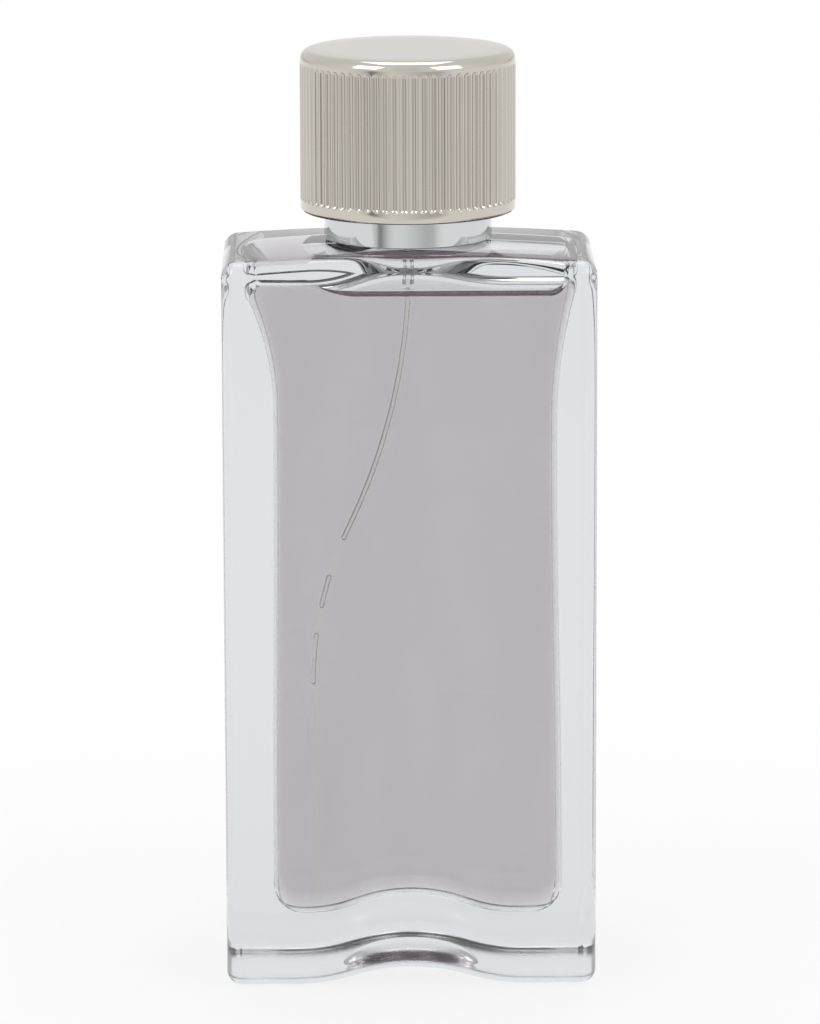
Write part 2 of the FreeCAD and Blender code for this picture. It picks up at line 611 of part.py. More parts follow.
def make_actuator_shell():
    """Bright skin over the button, with the nozzle window."""
    inner = ACTUATOR_RADIUS - ACTUATOR_SHEET
    shell = turned([
        (inner, ACTUATOR_Z), (ACTUATOR_RADIUS, ACTUATOR_Z), (ACTUATOR_RADIUS, ACTUATOR_TOP_Z), (0, ACTUATOR_TOP_Z),
        (0, ACTUATOR_TOP_Z - ACTUATOR_SHEET), (inner, ACTUATOR_TOP_Z - ACTUATOR_SHEET),
    ])
    shell = rounded(shell, ACTUATOR_TOP_ROUND, [(ACTUATOR_RADIUS, ACTUATOR_TOP_Z)])
    shell = rounded(shell, ACTUATOR_TOP_ROUND - ACTUATOR_SHEET, [(inner, ACTUATOR_TOP_Z - ACTUATOR_SHEET)])
    return shell.cut(side_hole(INSERT_RADIUS + INSERT_WINDOW_MARGIN, inner - 1.0, ACTUATOR_RADIUS + 1.0))


def make_spray_insert():
    """Nozzle disc with its orifice and swirl chamber."""
    inner = BUTTON_RADIUS - INSERT_DEPTH + SEAT
    disc = side_hole(INSERT_RADIUS, inner, ACTUATOR_RADIUS - ACTUATOR_SHEET)
    chamber = side_hole(INSERT_RADIUS / 2.0, inner, inner + INSERT_DEPTH / 2.0)
    return disc.cut(chamber).cut(side_hole(INSERT_ORIFICE_RADIUS, inner, ACTUATOR_RADIUS))


def flute_tool():
    """Ball-ended cutter of one flute, in front of the cap."""
    centre = CAP_RADIUS + FLUTE_RADIUS - FLUTE_DEPTH
    run_out = math.sqrt(FLUTE_RADIUS ** 2 - (FLUTE_RADIUS - FLUTE_DEPTH) ** 2)
    low = CAP_Z + FLUTE_FOOT + run_out
    high = CAP_TOP_Z - FLUTE_HEAD - run_out
    foot = point(0, low - FLUTE_RADIUS)
    head = point(0, high + FLUTE_RADIUS)
    edges = [
        arc_about(point(0, low), foot, point(FLUTE_RADIUS, low)),
        line(point(FLUTE_RADIUS, low), point(FLUTE_RADIUS, high)),
        arc_about(point(0, high), point(FLUTE_RADIUS, high), head),
        line(head, foot),
    ]
    tool = Part.Face(Part.Wire(edges)).revolve(ORIGIN, Z_AXIS, 360)
    tool.translate(Vector(centre, 0, 0))
    return tool


def make_cap_shell():
    """Fluted outer shell of the cap."""
    ceiling = CAP_TOP_Z - CAP_TOP_THICKNESS
    shell = turned([
        (CAP_BORE, CAP_Z), (CAP_RADIUS, CAP_Z), (CAP_RADIUS, CAP_TOP_Z), (0, CAP_TOP_Z), (0, ceiling),
        (CAP_BORE, ceiling),
    ])
    shell = rounded(shell, CAP_TOP_ROUND, [(CAP_RADIUS, CAP_TOP_Z)])
    shell = rounded(shell, CAP_FOOT_ROUND, [(CAP_RADIUS, CAP_Z)])
    tool = flute_tool()
    tools = []
    for index in range(FLUTE_COUNT):
        flute = tool.copy()
        flute.rotate(ORIGIN, Z_AXIS, (index + 0.5) * 360.0 / FLUTE_COUNT)
        tools.append(flute)
    return shell.cut(Part.makeCompound(tools)).removeSplitter()


def make_cap_liner():
    """Moulded liner: grip sleeve, foot and ledge flanges, ceiling and stop ribs."""
    outer = CAP_BORE - FIT
    foot = CAP_Z + LINER_FOOT_INSET
    ledge = LINER_TOP_Z - LINER_TOP_THICKNESS - WEIGHT_HEIGHT - LINER_FLANGE
    ceiling = LINER_TOP_Z - LINER_TOP_THICKNESS
    liner = turned([
        (LINER_BORE, foot), (outer, foot), (outer, foot + LINER_FLANGE), (LINER_RADIUS, foot + LINER_FLANGE),
        (LINER_RADIUS, ledge), (outer, ledge), (outer, ledge + LINER_FLANGE),
        (LINER_RADIUS, ledge + LINER_FLANGE), (LINER_RADIUS, ceiling), (outer, ceiling),
        (outer, LINER_TOP_Z), (0, LINER_TOP_Z), (0, ceiling), (LINER_BORE, ceiling),
    ])
    stop_z = COLLAR_TOP_Z + SEAT
    rib = Part.makeBox(LINER_STOP_DEPTH + LINER_WALL / 2.0, LINER_STOP_WIDTH, ceiling - stop_z)
    rib.translate(Vector(LINER_BORE - LINER_STOP_DEPTH, -LINER_STOP_WIDTH / 2.0, stop_z))
    ribs = []
    for index in range(LINER_STOP_COUNT):
        stop = rib.copy()
        stop.rotate(ORIGIN, Z_AXIS, index * 360.0 / LINER_STOP_COUNT)
        ribs.append(stop)
    return liner.multiFuse(ribs).removeSplitter()


def make_cap_weight():
    """Steel ring on the liner's ledge."""
    ledge_top = LINER_TOP_Z - LINER_TOP_THICKNESS - WEIGHT_HEIGHT
    return ring(LINER_RADIUS + FIT, CAP_BORE - FIT, ledge_top, ledge_top + WEIGHT_HEIGHT - SEAT)


def make_return_spring():
    """Spring between chamber floor and valve head."""
    return make_spring("return_spring", CHAMBER_Z, RETURN_SPRING_LENGTH, RETURN_SPRING_TURNS,
                       RETURN_COIL_RADIUS, RETURN_WIRE_RADIUS)


def make_precompression_spring():
    """Spring between piston and stem shoulder."""
    return make_spring("precompression_spring", PISTON_TOP_Z, PRECOMPRESSION_SPRING_LENGTH,
                       PRECOMPRESSION_SPRING_TURNS, PRECOMPRESSION_COIL_RADIUS, PRECOMPRESSION_WIRE_RADIUS)


PIECES = {
    "glass_bottle": make_glass_bottle,
    "aftershave_liquid": make_aftershave_liquid,
    "dip_tube": make_dip_tube,
    "pump_housing": make_pump_housing,
    "inlet_ball": make_inlet_ball,
    "return_spring": make_return_spring,
    "piston": make_piston,
    "precompression_spring": make_precompression_spring,
    "pump_stem": make_pump_stem,
    "stem_seal": make_stem_seal,
    "pump_turret": make_pump_turret,
    "neck_gasket": make_neck_gasket,
    "crimp_ferrule": make_crimp_ferrule,
    "collar_core": make_collar_core,
    "collar_sleeve": make_collar_sleeve,
    "actuator_button": make_actuator_button,
    "actuator_shell": make_actuator_shell,
    "spray_insert": make_spray_insert,
    "cap_shell": make_cap_shell,
    "cap_liner": make_cap_liner,
    "cap_weight": make_cap_weight,
}

for node, make in PIECES.items():
    shape = make()
    print(node, "solids", len(shape.Solids), "valid", shape.isValid(), "volume", round(shape.Volume, 2))
    shape.exportStep("parts/" + node + ".step")
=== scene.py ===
import logging
import math
from dataclasses import dataclass, field
from enum import Enum

import bmesh
import bpy
from bmesh.types import BMEdge, BMesh, BMVert
from bpy.types import Material, Node, NodeSocket, NodeTree, Object
from mathutils import Matrix, Vector


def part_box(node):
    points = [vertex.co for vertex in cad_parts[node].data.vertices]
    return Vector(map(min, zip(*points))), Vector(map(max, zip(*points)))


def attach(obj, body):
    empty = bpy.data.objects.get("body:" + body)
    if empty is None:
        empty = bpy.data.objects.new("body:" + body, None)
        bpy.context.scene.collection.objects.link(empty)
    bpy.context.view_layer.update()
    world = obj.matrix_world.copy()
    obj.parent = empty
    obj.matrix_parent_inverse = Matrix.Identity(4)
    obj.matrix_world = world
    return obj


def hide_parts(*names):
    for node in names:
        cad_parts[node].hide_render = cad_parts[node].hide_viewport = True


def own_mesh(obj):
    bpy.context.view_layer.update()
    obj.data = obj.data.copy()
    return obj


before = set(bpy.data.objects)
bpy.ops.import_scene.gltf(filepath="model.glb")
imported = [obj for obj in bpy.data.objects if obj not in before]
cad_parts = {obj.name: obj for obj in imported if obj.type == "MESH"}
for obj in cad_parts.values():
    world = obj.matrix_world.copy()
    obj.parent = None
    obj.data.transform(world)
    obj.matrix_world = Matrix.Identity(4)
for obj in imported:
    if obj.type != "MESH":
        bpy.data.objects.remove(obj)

LOG = logging.getLogger("aftershave_bottle")
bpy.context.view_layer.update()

Colour = tuple[float, float, float]
Point = tuple[float, float, float]
Place = tuple[float, float]
Stops = tuple[tuple[float, float], ...]

# Millimetres in a metre, and the lengths in millimetres under which points are one.
METRE = 1000.0
SLIVER = 1e-6
MERGE = 1e-5
SHELL_MERGE = 1e-3

# Angles in degrees above which an edge stays sharp.
CREASE = 38.0
ROUND_CREASE = 60.0
SLUG_CREASE = 80.0

FULL_TURN = 2.0 * math.pi
RAISED = Matrix.Rotation(math.pi / 2.0, 3, "X")
WHITE: Colour = (1.0, 1.0, 1.0)
FLINT: Colour = (0.735, 0.75, 0.77)
RELIEF = 0.0001
FACE_WEIGHT = 100
LIGHT_BOUNCES = 24


class Carving(Enum):
    """How one closed mesh works on another."""

    JOIN = "UNION"
    CUT = "DIFFERENCE"
    MEET = "INTERSECT"


class WallMark(Enum):
    """Material places of the glass walls, and of the surface that closes them."""

    SKIN = 0
    WET = 1
    DRY = 2
    STIPPLED = 3
    SURFACE = 4


class SpringEnd(Enum):
    """End of a spring that its body holds."""

    FOOT = "foot"
    HEAD = "head"


class Socket(Enum):
    """What goes in and out of a shared effect."""

    VALUE = "NodeSocketFloat"
    COLOUR = "NodeSocketColor"


def box_mm(node: str) -> tuple[Vector, Vector]:
    """Lowest and highest corners of a CAD node's box, in millimetres."""
    low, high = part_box(node)
    return Vector(low) * METRE, Vector(high) * METRE


@dataclass
class Outline:
    """Front outline in millimetres, drawn from lines and arcs.

    Args:
        points: Places across (x) and up (y) in drawing order.
    """

    points: list[Vector] = field(default_factory=list)

    def start(self, across: float, up: float) -> None:
        """Sets the first point."""
        self.points = [Vector((across, up))]

    def line_to(self, across: float, up: float) -> None:
        """Draws a straight line unless it has no length."""
        if (Vector((across, up)) - self.points[-1]).length > SLIVER:
            self.points.append(Vector((across, up)))

    def arc_to(self, centre: Place, end: Place, steps: int = 10) -> None:
        """Draws the shorter arc about a centre.

        Args:
            centre: Middle of the circle.
            end: Last point of the arc.
            steps: Number of chords.
        """
        middle = Vector(centre)
        first = self.points[-1] - middle
        last = Vector(end) - middle
        begin = math.atan2(first.y, first.x)
        turn = math.atan2(last.y, last.x) - begin
        turn = (turn + math.pi) % FULL_TURN - math.pi
        radius = first.length
        for step in range(1, steps + 1):
            angle = begin + turn * step / steps
            self.points.append(middle + Vector((math.cos(angle), math.sin(angle))) * radius)

    def swell_to(self, across: float, up: float, upright: bool = False, steps: int = 24) -> None:
        """Draws two equal tangent arcs that are level, or upright, at both ends.

        Args:
            across: End of the swell across.
            up: End of the swell in height.
            upright: True for a swell that runs in height.
            steps: Number of chords.
        """
        begin = self.points[-1].copy()
        run, rise = (up - begin.y, across - begin.x) if upright else (across - begin.x, up - begin.y)
        radius = (run * run + rise * rise) / (4.0 * abs(rise))
        for step in range(1, steps + 1):
            share = step / steps
            near = abs(run) * min(share, 1.0 - share)
            bow = math.copysign(radius - math.sqrt(radius * radius - near * near), rise)
            away = bow if share <= 0.5 else rise - bow
            along = run * share
            offset = Vector((away, along)) if upright else Vector((along, away))
            self.points.append(begin + offset)

    def profile(self) -> list[Place]:
        """Places across and up of the points."""
        return [(place.x, place.y) for place in self.points]


def filleted(corners: list[tuple[float, float, float]], steps: int = 6) -> list[Place]:
    """Rounds the corners of a lathe profile.

    Args:
        corners: Radius, height and rounding of each corner.
        steps: Number of chords of a rounding.

    Returns:
        Radius and height of each profile point.
    """
    places = [Vector(corner[:2]) for corner in corners]
    profile: list[Place] = []
    for index, (radius, height, rounding) in enumerate(corners):
        if rounding <= 0.0:
            profile.append((radius, height))
            continue
        here = places[index]
        back = (places[index - 1] - here).normalized()
        ahead = (places[(index + 1) % len(places)] - here).normalized()
        half = math.acos(max(-1.0, min(1.0, back.dot(ahead)))) / 2.0
        centre = here + (back + ahead).normalized() * (rounding / math.sin(half))
        reach = rounding / math.tan(half)
        pen = Outline()
        pen.start(*(here + back * reach))
        pen.arc_to(tuple(centre), tuple(here + ahead * reach), steps)
        profile.extend(pen.profile())
    return profile


def turned(profile: list[Place], steps: int) -> BMesh:
    """Turns a profile about Z into a closed mesh.

    Args:
        profile: Radius and height of each point, closed unless both ends lie on the axis.
        steps: Number of steps of the full turn.

    Returns:
        The turned mesh, in millimetres.
    """
    bm = bmesh.new()
    verts = [bm.verts.new((radius, 0.0, height)) for radius, height in profile]
    pairs = list(zip(verts, verts[1:]))
    if profile[0][0] > 0.0 or profile[-1][0] > 0.0:
        pairs.append((verts[-1], verts[0]))
    edges = [bm.edges.new(pair) for pair in pairs]
    bmesh.ops.spin(bm, geom=verts + edges, cent=(0, 0, 0), axis=(0, 0, 1), angle=FULL_TURN, steps=steps, use_merge=True)
    bmesh.ops.remove_doubles(bm, verts=bm.verts[:], dist=MERGE)
    bmesh.ops.dissolve_degenerate(bm, edges=bm.edges[:], dist=SLIVER)
    bmesh.ops.delete(bm, geom=[edge for edge in bm.edges if edge.is_wire], context="EDGES")
    bmesh.ops.recalc_face_normals(bm, faces=bm.faces[:])
    return bm


def prism(outline: Outline, half_depth: float, edge_radius: float, segments: int) -> BMesh:
    """Draws a front outline out in depth and rounds its front and back edges.

    Args:
        outline: Closed front outline.
        half_depth: Half of the depth.
        edge_radius: Rounding of the front and back edges.
        segments: Number of strips of a rounding.

    Returns:
        The closed mesh, in millimetres.
    """
    bm = bmesh.new()
    loop = bmesh.ops.create_circle(bm, cap_ends=True, segments=len(outline.points), radius=1.0)["verts"]
    for vert, place in zip(loop, outline.points):
        vert.co = Vector((place.x, -half_depth, place.y))
    drawn = bmesh.ops.extrude_face_region(bm, geom=bm.faces[:], use_keep_orig=True)["geom"]
    far = [item for item in drawn if isinstance(item, BMVert)]
    bmesh.ops.translate(bm, verts=far, vec=(0.0, 2.0 * half_depth, 0.0))
    bmesh.ops.recalc_face_normals(bm, faces=bm.faces[:])
    rims = [edge for edge in bm.edges if abs(edge.verts[0].co.y - edge.verts[1].co.y) < SLIVER]
    bmesh.ops.bevel(bm, geom=rims, offset=edge_radius, offset_type="OFFSET", segments=segments, profile=0.5,
                    affect="EDGES", material=-1, clamp_overlap=False)
    return bm


def scored(bm: BMesh, place: Point, facing: Point) -> None:
    """Cuts edges into a mesh where a plane through a place crosses it."""
    geom = bm.verts[:] + bm.edges[:] + bm.faces[:]
    bmesh.ops.bisect_plane(bm, geom=geom, dist=MERGE, plane_co=place, plane_no=facing)


def sliced(bm: BMesh, half_depth: float, strips: int) -> None:
    """Cuts a mesh into strips of equal depth, so that it can bend in depth."""
    for strip in range(strips + 1):
        scored(bm, (0.0, half_depth * (2.0 * strip / strips - 1.0), 0.0), (0.0, 1.0, 0.0))


def end_capped(bm: BMesh, *ends: list[BMVert]) -> None:
    """Closes the open ends of a drawn section.

    Args:
        bm: The mesh.
        ends: Ring of points at each end.
    """
    for end in ends:
        bmesh.ops.contextual_create(bm, geom=list(end))
    bmesh.ops.recalc_face_normals(bm, faces=bm.faces[:])


def swept(route: list[Vector], radii: list[float], side: Vector, sides: int) -> BMesh:
    """Draws a round section along a route in one plane.

    Args:
        route: Centres of the sections.
        radii: Radius at each centre.
        side: Direction square to the route's plane.
        sides: Corners of a section.

    Returns:
        The closed mesh, in millimetres.
    """
    bm = bmesh.new()
    ring = bmesh.ops.create_circle(bm, cap_ends=False, segments=sides, radius=1.0)["verts"]
    edges = bm.edges[:]
    first = ring
    for index, centre in enumerate(route):
        if index:
            drawn = bmesh.ops.extrude_edge_only(bm, edges=edges)["geom"]
            ring = [item for item in drawn if isinstance(item, BMVert)]
            edges = [
                item for item in drawn
                if isinstance(item, BMEdge) and item.verts[0] in ring and item.verts[1] in ring
            ]
        way = (route[min(index + 1, len(route) - 1)] - route[max(index - 1, 0)]).normalized()
        across = side.cross(way)
        for number, vert in enumerate(ring):
            angle = FULL_TURN * number / sides
            vert.co = centre + (side * math.cos(angle) + across * math.sin(angle)) * radii[index]
    end_capped(bm, first, ring)
    return bm


def marked(bm: BMesh, mark: WallMark) -> None:
    """Gives every face of a mesh one material place."""
    for face in bm.faces:
        face.material_index = mark.value


def to_object(name: str, bm: BMesh) -> Object:
    """Makes an object of a mesh drawn in millimetres.

    Args:
        name: Name of the object and its mesh.
        bm: The mesh, which is freed.

    Returns:
        The object at the origin, in metres.
    """
    bmesh.ops.scale(bm, verts=bm.verts[:], vec=(1.0 / METRE,) * 3)
    mesh = bpy.data.meshes.new(name)
    bm.to_mesh(mesh)
    bm.free()
    obj = bpy.data.objects.new(name, mesh)
    bpy.context.scene.collection.objects.link(obj)
    return obj


def carved(body: BMesh, tool: BMesh, carving: Carving) -> BMesh:
    """Joins a closed mesh to another, cuts it out, or keeps what both share.

    Args:
        body: Mesh that is worked on, which is freed.
        tool: Mesh that works on it, which is freed.
        carving: Join, cut or meet.

    Returns:
        The result, in millimetres.
    """
    target = to_object("carved_body", body)
    cutter = to_object("carving_tool", tool)
    step = target.modifiers.new("carving", "BOOLEAN")
    step.operation = carving.value
    step.solver = "EXACT"
    step.object = cutter
    graph = bpy.context.evaluated_depsgraph_get()
    mesh = bpy.data.meshes.new_from_object(target.evaluated_get(graph))
    result = bmesh.new()
    result.from_mesh(mesh)
    bmesh.ops.scale(result, verts=result.verts[:], vec=(METRE,) * 3)
    for obj in (target, cutter):
        spare = obj.data
        bpy.data.objects.remove(obj)
        bpy.data.meshes.remove(spare)
    bpy.data.meshes.remove(mesh)
    return result


def smoothed(bm: BMesh, crease: float) -> BMesh:
    """Shades a mesh smooth and keeps its creases sharp.

    Args:
        bm: The mesh.
        crease: Angle in degrees above which an edge stays sharp.

    Returns:
        The same mesh.
    """
    for face in bm.faces:
        face.smooth = True
    for edge in bm.edges:
        if len(edge.link_faces) == 2:
            edge.smooth = edge.calc_face_angle(0.0) < math.radians(crease)
    return bm


class Weave:
    """Small builder for shader nodes and their links."""

    def __init__(self, tree: NodeTree) -> None:
        """Keeps the tree that the nodes go in."""
        self.tree = tree

    def node(self, kind: str, **settings: object) -> Node:
        """Adds a node and sets its properties.

        Args:
            kind: Type of the node.
            settings: Value by property name.

        Returns:
            The node.
        """
        made = self.tree.nodes.new(kind)
        for name, value in settings.items():
            setattr(made, name, value)
        return made

    def feed(self, node: Node, **inputs: object) -> Node:
        """Sets or links a node's inputs.

        Args:
            node: The node.
            inputs: Value or source socket by input name, with _ for a space, or i0, i1 for a place.

        Returns:
            The node.
        """
        for name, value in inputs.items():
            place = int(name[1:]) if name[0] == "i" and name[1:].isdigit() else name.replace("_", " ")
            socket = node.inputs[place]
            if isinstance(value, NodeSocket):
                self.tree.links.new(value, socket)
            else:
                socket.default_value = value
        return node

    def add(self, kind: str, **inputs: object) -> Node:
        """Adds a node with its inputs set or linked."""
        return self.feed(self.node(kind), **inputs)

    def group(self, tree: NodeTree, **inputs: object) -> Node:
        """Places a shared effect with its own values."""
        return self.feed(self.node("ShaderNodeGroup", node_tree=tree), **inputs)

    def here(self, space: str = "Object") -> NodeSocket:
        """Gives the place on the piece, or the direction in the world."""
        return self.node("ShaderNodeTexCoord").outputs[space]

    def noise(self, output: int = 0, **inputs: object) -> NodeSocket:
        """Adds a noise and gives its value, or its colour as output 1."""
        return self.add("ShaderNodeTexNoise", **inputs).outputs[output]

    def math(self, operation: str, first: object, second: object = 0.0, clamp: bool = False) -> NodeSocket:
        """Works on one or two values and gives the result."""
        made = self.node("ShaderNodeMath", operation=operation, use_clamp=clamp)
        return self.feed(made, i0=first, i1=second).outputs[0]

    def fused(self, value: object, gain: object, base: object, clamp: bool = False) -> NodeSocket:
        """Multiplies a value, adds a base and gives the result."""
        made = self.node("ShaderNodeMath", operation="MULTIPLY_ADD", use_clamp=clamp)
        return self.feed(made, i0=value, i1=gain, i2=base).outputs[0]

    def scaled(self, colour: NodeSocket, gain: NodeSocket) -> NodeSocket:
        """Multiplies a colour by a value and gives the result."""
        made = self.node("ShaderNodeVectorMath", operation="SCALE")
        return self.feed(made, i0=colour, Scale=gain).outputs[0]

    def ranged(self, value: NodeSocket, low: float, high: float, to: Place = (0.0, 1.0)) -> NodeSocket:
        """Maps a value from one range to another and gives the result."""
        made = self.add("ShaderNodeMapRange", Value=value, From_Min=low, From_Max=high, To_Min=to[0], To_Max=to[1])
        return made.outputs["Result"]

    def mixed(self, factor: NodeSocket, first: object, second: object) -> NodeSocket:
        """Mixes two colours and gives the result."""
        made = self.node("ShaderNodeMix", data_type="RGBA", blend_type="MIX")
        return self.feed(made, i0=factor, i6=first, i7=second).outputs[2]


class GroupWeave(Weave):
    """Builder of a shader node group."""

    def __init__(self, name: str, inputs: dict[str, Socket], outputs: dict[str, Socket]) -> None:
        """Starts the group.

        Args:
            name: Name of the group.
            inputs: Kind of each input by name.
            outputs: Kind of each output by name.
        """
        super().__init__(bpy.data.node_groups.new(name, "ShaderNodeTree"))
        for way, sockets in (("INPUT", inputs), ("OUTPUT", outputs)):
            for socket, kind in sockets.items():
                self.tree.interface.new_socket(socket, in_out=way, socket_type=kind.value)
        self.given = self.node("NodeGroupInput").outputs

    def give(self, **outputs: object) -> NodeTree:
        """Links the outputs and gives the group."""
        self.add("NodeGroupOutput", **outputs)
        return self.tree


class MaterialWeave(Weave):
    """Builder of a material round its Principled shader."""

    def __init__(self, name: str, tone: Colour, roughness: float) -> None:
        """Starts the material with a plain surface.

        Args:
            name: Name of the material.
            tone: Linear colour.
            roughness: Roughness of the surface.
        """
        self.made = bpy.data.materials.new(name)
        self.made.use_nodes = True
        super().__init__(self.made.node_tree)
        self.shader = self.tree.nodes["Principled BSDF"]
        self.output = self.tree.nodes["Material Output"]
        self.dress(Base_Color=(*tone, 1.0), Roughness=roughness)
        self.made.diffuse_color = (*tone, 1.0)

    def dress(self, **inputs: object) -> None:
        """Sets or links inputs of the Principled shader."""
        self.feed(self.shader, **inputs)

    def relief(self, strength: float, height: NodeSocket) -> None:
        """Lays a fine relief on the surface."""
        bump = self.add("ShaderNodeBump", Strength=strength, Distance=RELIEF, Height=height)
        self.dress(Normal=bump.outputs[0])

    def blend(self, factor: NodeSocket, first: Node, second: Node) -> None:
        """Mixes two shaders on the surface."""
        mix = self.add("ShaderNodeMixShader", i0=factor, i1=first.outputs[0], i2=second.outputs[0])
        self.feed(self.output, Surface=mix.outputs[0])


@dataclass
class Effects:
    """Node groups that several finishes share."""

    grain_ratio: float = 9.0
    line_twist: float = 0.0003
    mark_warp: float = 0.04
    mark_warp_ratio: float = 0.25
    mark_width: float = 0.02
    mark_patch_ratio: float = 0.6
    cord_stretch: Point = (1.0, 1.0, 0.3)
    cord_scale: float = 85.0

    def __post_init__(self) -> None:
        """Builds each group once."""
        self.drift = self._drift()
        self.lines = self._lines()
        self.scuffs = self._scuffs()
        self.cords = self._cords()

    def _drift(self) -> NodeTree:
        """Slow change of tone and gloss over a surface.

        Returns:
            The group.
        """
        value, colour = Socket.VALUE, Socket.COLOUR
        weave = GroupWeave(
            "tone_drift",
            {"Tone": colour, "Tone Drift": value, "Roughness": value, "Roughness Drift": value, "Scale": value},
            {"Color": colour, "Roughness": value, "Height": value},
        )
        given, place = weave.given, weave.here()
        cloud = weave.noise(Vector=place, Scale=given["Scale"], Detail=4.0, Roughness=0.6)
        fine = weave.math("MULTIPLY", given["Scale"], self.grain_ratio)
        grain = weave.noise(Vector=place, Scale=fine, Detail=2.0)
        cloudy, grainy = (weave.math("SUBTRACT", spread, 0.5) for spread in (cloud, grain))
        tone = weave.scaled(given["Tone"], weave.fused(cloudy, given["Tone Drift"], 1.0))
        uneven = weave.math("ADD", cloudy, grainy)
        gloss = weave.fused(uneven, given["Roughness Drift"], given["Roughness"], clamp=True)
        return weave.give(Color=tone, Roughness=gloss, Height=grain)

    def _lines(self) -> NodeTree:
        """Fine tool lines round the axis.

        Returns:
            The group.
        """
        weave = GroupWeave("tool_lines", {"Scale": Socket.VALUE}, {"Height": Socket.VALUE})
        across, deep, up = weave.add("ShaderNodeSeparateXYZ", i0=weave.here()).outputs
        squares = [weave.math("MULTIPLY", part, part) for part in (across, deep)]
        radius = weave.math("SQRT", weave.math("ADD", *squares))
        twist = weave.math("MULTIPLY", weave.math("ARCTAN2", across, deep), self.line_twist)
        around = weave.add("ShaderNodeCombineXYZ", i0=radius, i1=up, i2=twist).outputs[0]
        return weave.give(Height=weave.noise(Vector=around, Scale=weave.given["Scale"], Detail=3.0, Roughness=0.7))

    def _scuffs(self) -> NodeTree:
        """Sparse hair-thin handling marks.

        Returns:
            The group.
        """
        value = Socket.VALUE
        weave = GroupWeave("handling_marks", {"Scale": value, "Density": value}, {"Mask": value})
        given, place = weave.given, weave.here()
        broad = weave.math("MULTIPLY", given["Scale"], self.mark_warp_ratio)
        warp = weave.noise(output=1, Vector=place, Scale=broad, Detail=1.0)
        bent = weave.feed(weave.node("ShaderNodeMix", data_type="VECTOR"), i0=self.mark_warp, i4=place, i5=warp)
        cells = weave.node("ShaderNodeTexVoronoi", feature="DISTANCE_TO_EDGE")
        weave.feed(cells, Vector=bent.outputs[1], Scale=given["Scale"])
        thin = weave.ranged(cells.outputs["Distance"], 0.0, self.mark_width, (1.0, 0.0))
        patchy = weave.math("MULTIPLY", given["Scale"], self.mark_patch_ratio)
        patch = weave.noise(Vector=place, Scale=patchy, Detail=2.0)
        sparse = weave.math("LESS_THAN", patch, given["Density"])
        return weave.give(Mask=weave.math("MULTIPLY", thin, sparse))

    def _cords(self) -> NodeTree:
        """Soft upright streaks that slow-poured glass keeps.

        Returns:
            The group.
        """
        inputs = {"Tone": Socket.COLOUR, "Depth": Socket.VALUE}
        weave = GroupWeave("glass_cords", inputs, {"Color": Socket.COLOUR})
        stretch = weave.add("ShaderNodeMapping", Vector=weave.here(), Scale=self.cord_stretch).outputs[0]
        noise = weave.noise(Vector=stretch, Scale=self.cord_scale, Detail=2.5, Roughness=0.5, Distortion=0.7)
        loss = weave.math("MULTIPLY", weave.ranged(noise, 0.35, 0.7, (1.0, 0.0)), weave.given["Depth"])
        return weave.give(Color=weave.scaled(weave.given["Tone"], weave.math("SUBTRACT", 1.0, loss)))


@dataclass(frozen=True)
class Finish:
    """What every finish has.

    Args:
        name: Name of the material.
        slot: Material slot of the record; not used.
        tone: Linear colour.
        roughness: Roughness of the clean surface.
    """

    name: str
    slot: str
    tone: Colour
    roughness: float

    def begin(self) -> MaterialWeave:
        """Starts the material."""
        return MaterialWeave(self.name, self.tone, self.roughness)

    def drifting(self, weave: MaterialWeave, effects: Effects, tone: float, gloss: float, scale: float) -> Node:
        """Lays a slow change of tone and gloss on the surface.

        Args:
            weave: Builder of the material.
            effects: Shared node groups.
            tone: Change of tone.
            gloss: Change of roughness.
            scale: Scale of the change.

        Returns:
            The group node.
        """
        group = weave.group(effects.drift, Tone=(*self.tone, 1.0), Tone_Drift=tone, Roughness=self.roughness,
                            Roughness_Drift=gloss, Scale=scale)
        weave.dress(Base_Color=group.outputs["Color"], Roughness=group.outputs["Roughness"])
        return group

    def material(self, effects: Effects) -> Material:
        """Builds the material from the shared node groups."""
        raise NotImplementedError


@dataclass(frozen=True)
class MetalFinish(Finish):
    """Worked metal with tool lines, handling marks and painted shade in its hollows.

    Args:
        line_depth: Strength of the tool lines.
        marks: Strength of the handling marks.
        painted_hollow_shade: How much darker the metal's colour is painted in its hollows, as painted shade.
    """

    line_depth: float = 0.02
    marks: float = 0.06
    painted_hollow_shade: float = 0.0

    def material(self, effects: Effects) -> Material:
        """Builds the metal.

        Args:
            effects: Shared node groups.

        Returns:
            The material.
        """
        weave = self.begin()
        weave.dress(Metallic=1.0)
        group = self.drifting(weave, effects, tone=0.06, gloss=0.05, scale=140.0)
        # Painted shade: the tone is darkened where the piece's hollow depth says a point lies deep in a flute.
        if self.painted_hollow_shade > 0.0:
            depth = weave.node("ShaderNodeAttribute", attribute_name="hollow").outputs["Fac"]
            gain = weave.ranged(depth, 0.0, 1.0, (1.0, 1.0 - self.painted_hollow_shade))
            weave.dress(Base_Color=weave.scaled(group.outputs["Color"], gain))
        marks = weave.group(effects.scuffs, Scale=260.0, Density=0.42)
        weave.dress(Roughness=weave.fused(marks.outputs["Mask"], self.marks, group.outputs["Roughness"]))
        weave.relief(self.line_depth, weave.group(effects.lines, Scale=9000.0).outputs["Height"])
        return weave.made


